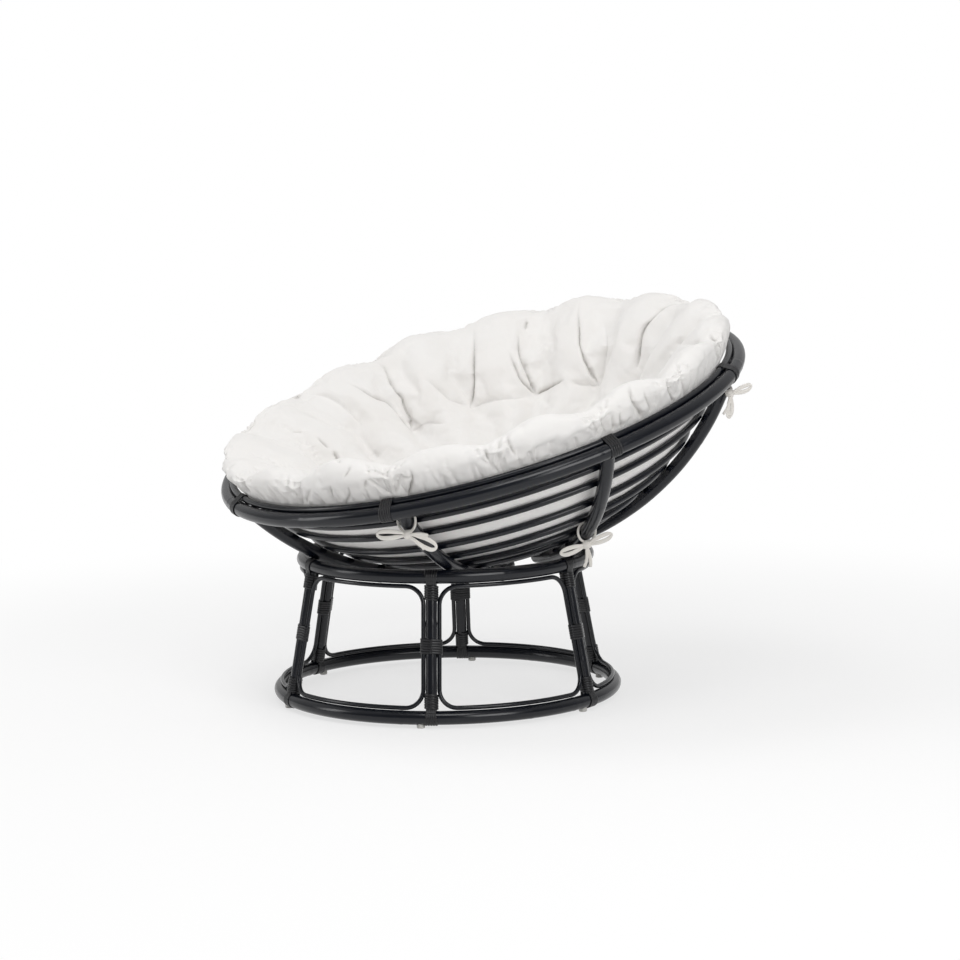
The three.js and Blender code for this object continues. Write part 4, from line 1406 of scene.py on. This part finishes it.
def camera():
    made = bpy.data.objects.new("camera", bpy.data.cameras.new("camera"))
    bpy.context.scene.collection.objects.link(made)
    heading = math.radians(CAMERA_HEADING)
    forward = Vector(direction(CAMERA_HEADING, -CAMERA_PITCH))
    right = Vector((math.sin(heading), -math.cos(heading), 0))
    up = right.cross(forward)
    rolled_right = right * math.cos(CAMERA_ROLL) + up * math.sin(CAMERA_ROLL)
    rolled_up = -right * math.sin(CAMERA_ROLL) + up * math.cos(CAMERA_ROLL)
    turn = Matrix((rolled_right, rolled_up, -forward)).transposed()
    made.matrix_world = Matrix.Translation(CAMERA_PLACE) @ turn.to_4x4()
    made.data.lens = CAMERA_LENS
    made.data.sensor_width = CAMERA_FILM
    bpy.context.scene.camera = made


def soft_light(name, place, aim, size, power):
    data = bpy.data.lights.new(name, "AREA")
    data.shape = "RECTANGLE"
    data.size, data.size_y = size
    data.energy = power
    made = bpy.data.objects.new(name, data)
    bpy.context.scene.collection.objects.link(made)
    made.location = place
    made.rotation_euler = (Vector(aim) - Vector(place)).to_track_quat("-Z", "Y").to_euler()


def studio_world():
    """White to the camera, and graded for the light: bright behind and above, darker in front."""
    world = bpy.data.worlds.new("studio")
    world.use_nodes = True
    tree = world.node_tree
    background = tree.nodes["Background"]
    background.inputs["Color"].default_value = (1, 1, 1, 1)
    towards = new_node(tree, "ShaderNodeTexCoord")
    share = new_node(tree, "ShaderNodeVectorMath", {1: direction(CAMERA_HEADING, STUDIO_TILT)},
                     operation="DOT_PRODUCT")
    grade = new_node(tree, "ShaderNodeMapRange",
                     {"From Min": STUDIO_GRADE[0], "From Max": STUDIO_GRADE[1],
                      "To Min": STUDIO_DARK, "To Max": STUDIO_BRIGHT}, interpolation_type="SMOOTHSTEP")
    rays = new_node(tree, "ShaderNodeLightPath")
    strength = new_node(tree, "ShaderNodeMix", {3: 1})
    tree.links.new(towards.outputs["Generated"], share.inputs[0])
    tree.links.new(share.outputs["Value"], grade.inputs["Value"])
    tree.links.new(rays.outputs["Is Camera Ray"], strength.inputs[0])
    tree.links.new(grade.outputs["Result"], strength.inputs[2])
    tree.links.new(strength.outputs[0], background.inputs["Strength"])
    bpy.context.scene.world = world


def studio_floor():
    """A plain pale floor that keeps a soft shadow, and turns to white far from the chair."""
    material, shader = new_material("pale_floor", (FLOOR_SHADE,) * 3, 0.9)
    tree = material.node_tree
    place = new_node(tree, "ShaderNodeNewGeometry")
    distance = new_node(tree, "ShaderNodeVectorMath", operation="LENGTH")
    far = new_node(tree, "ShaderNodeMapRange",
                   {"From Min": WHITE_FROM, "From Max": WHITE_TO, "To Min": FLOOR_WHITE},
                   interpolation_type="SMOOTHSTEP")
    rays = new_node(tree, "ShaderNodeLightPath")
    seen = new_node(tree, "ShaderNodeMath", operation="MAXIMUM")
    share = new_node(tree, "ShaderNodeMath", operation="MULTIPLY")
    white = new_node(tree, "ShaderNodeEmission")
    mix = new_node(tree, "ShaderNodeMixShader")
    tree.links.new(place.outputs["Position"], distance.inputs[0])
    tree.links.new(distance.outputs["Value"], far.inputs["Value"])
    tree.links.new(rays.outputs["Is Camera Ray"], seen.inputs[0])
    tree.links.new(rays.outputs["Is Glossy Ray"], seen.inputs[1])
    tree.links.new(seen.outputs["Value"], share.inputs[0])
    tree.links.new(far.outputs["Result"], share.inputs[1])
    tree.links.new(share.outputs["Value"], mix.inputs["Fac"])
    tree.links.new(shader.outputs["BSDF"], mix.inputs[1])
    tree.links.new(white.outputs["Emission"], mix.inputs[2])
    tree.links.new(mix.outputs["Shader"], tree.nodes["Material Output"].inputs["Surface"])
    half = FLOOR_SIZE / 2
    corners = [(x * half, y * half, -FLOOR_DROP) for x, y in ((-1, -1), (1, -1), (1, 1), (-1, 1))]
    mesh_object("floor", corners, [(0, 1, 2, 3)], [(0, 0), (1, 0), (1, 1), (0, 1)], material)


def studio():
    bpy.context.scene.view_settings.view_transform = "Standard"
    studio_world()
    studio_floor()
    for name, lamp in LAMPS.items():
        soft_light(name, *lamp)


camera()
for index, tie_spec in enumerate(TIES):
    tie_bow(index + 1, tie_spec)
build_stand()
build_bowl_frame()
cushion()
studio()
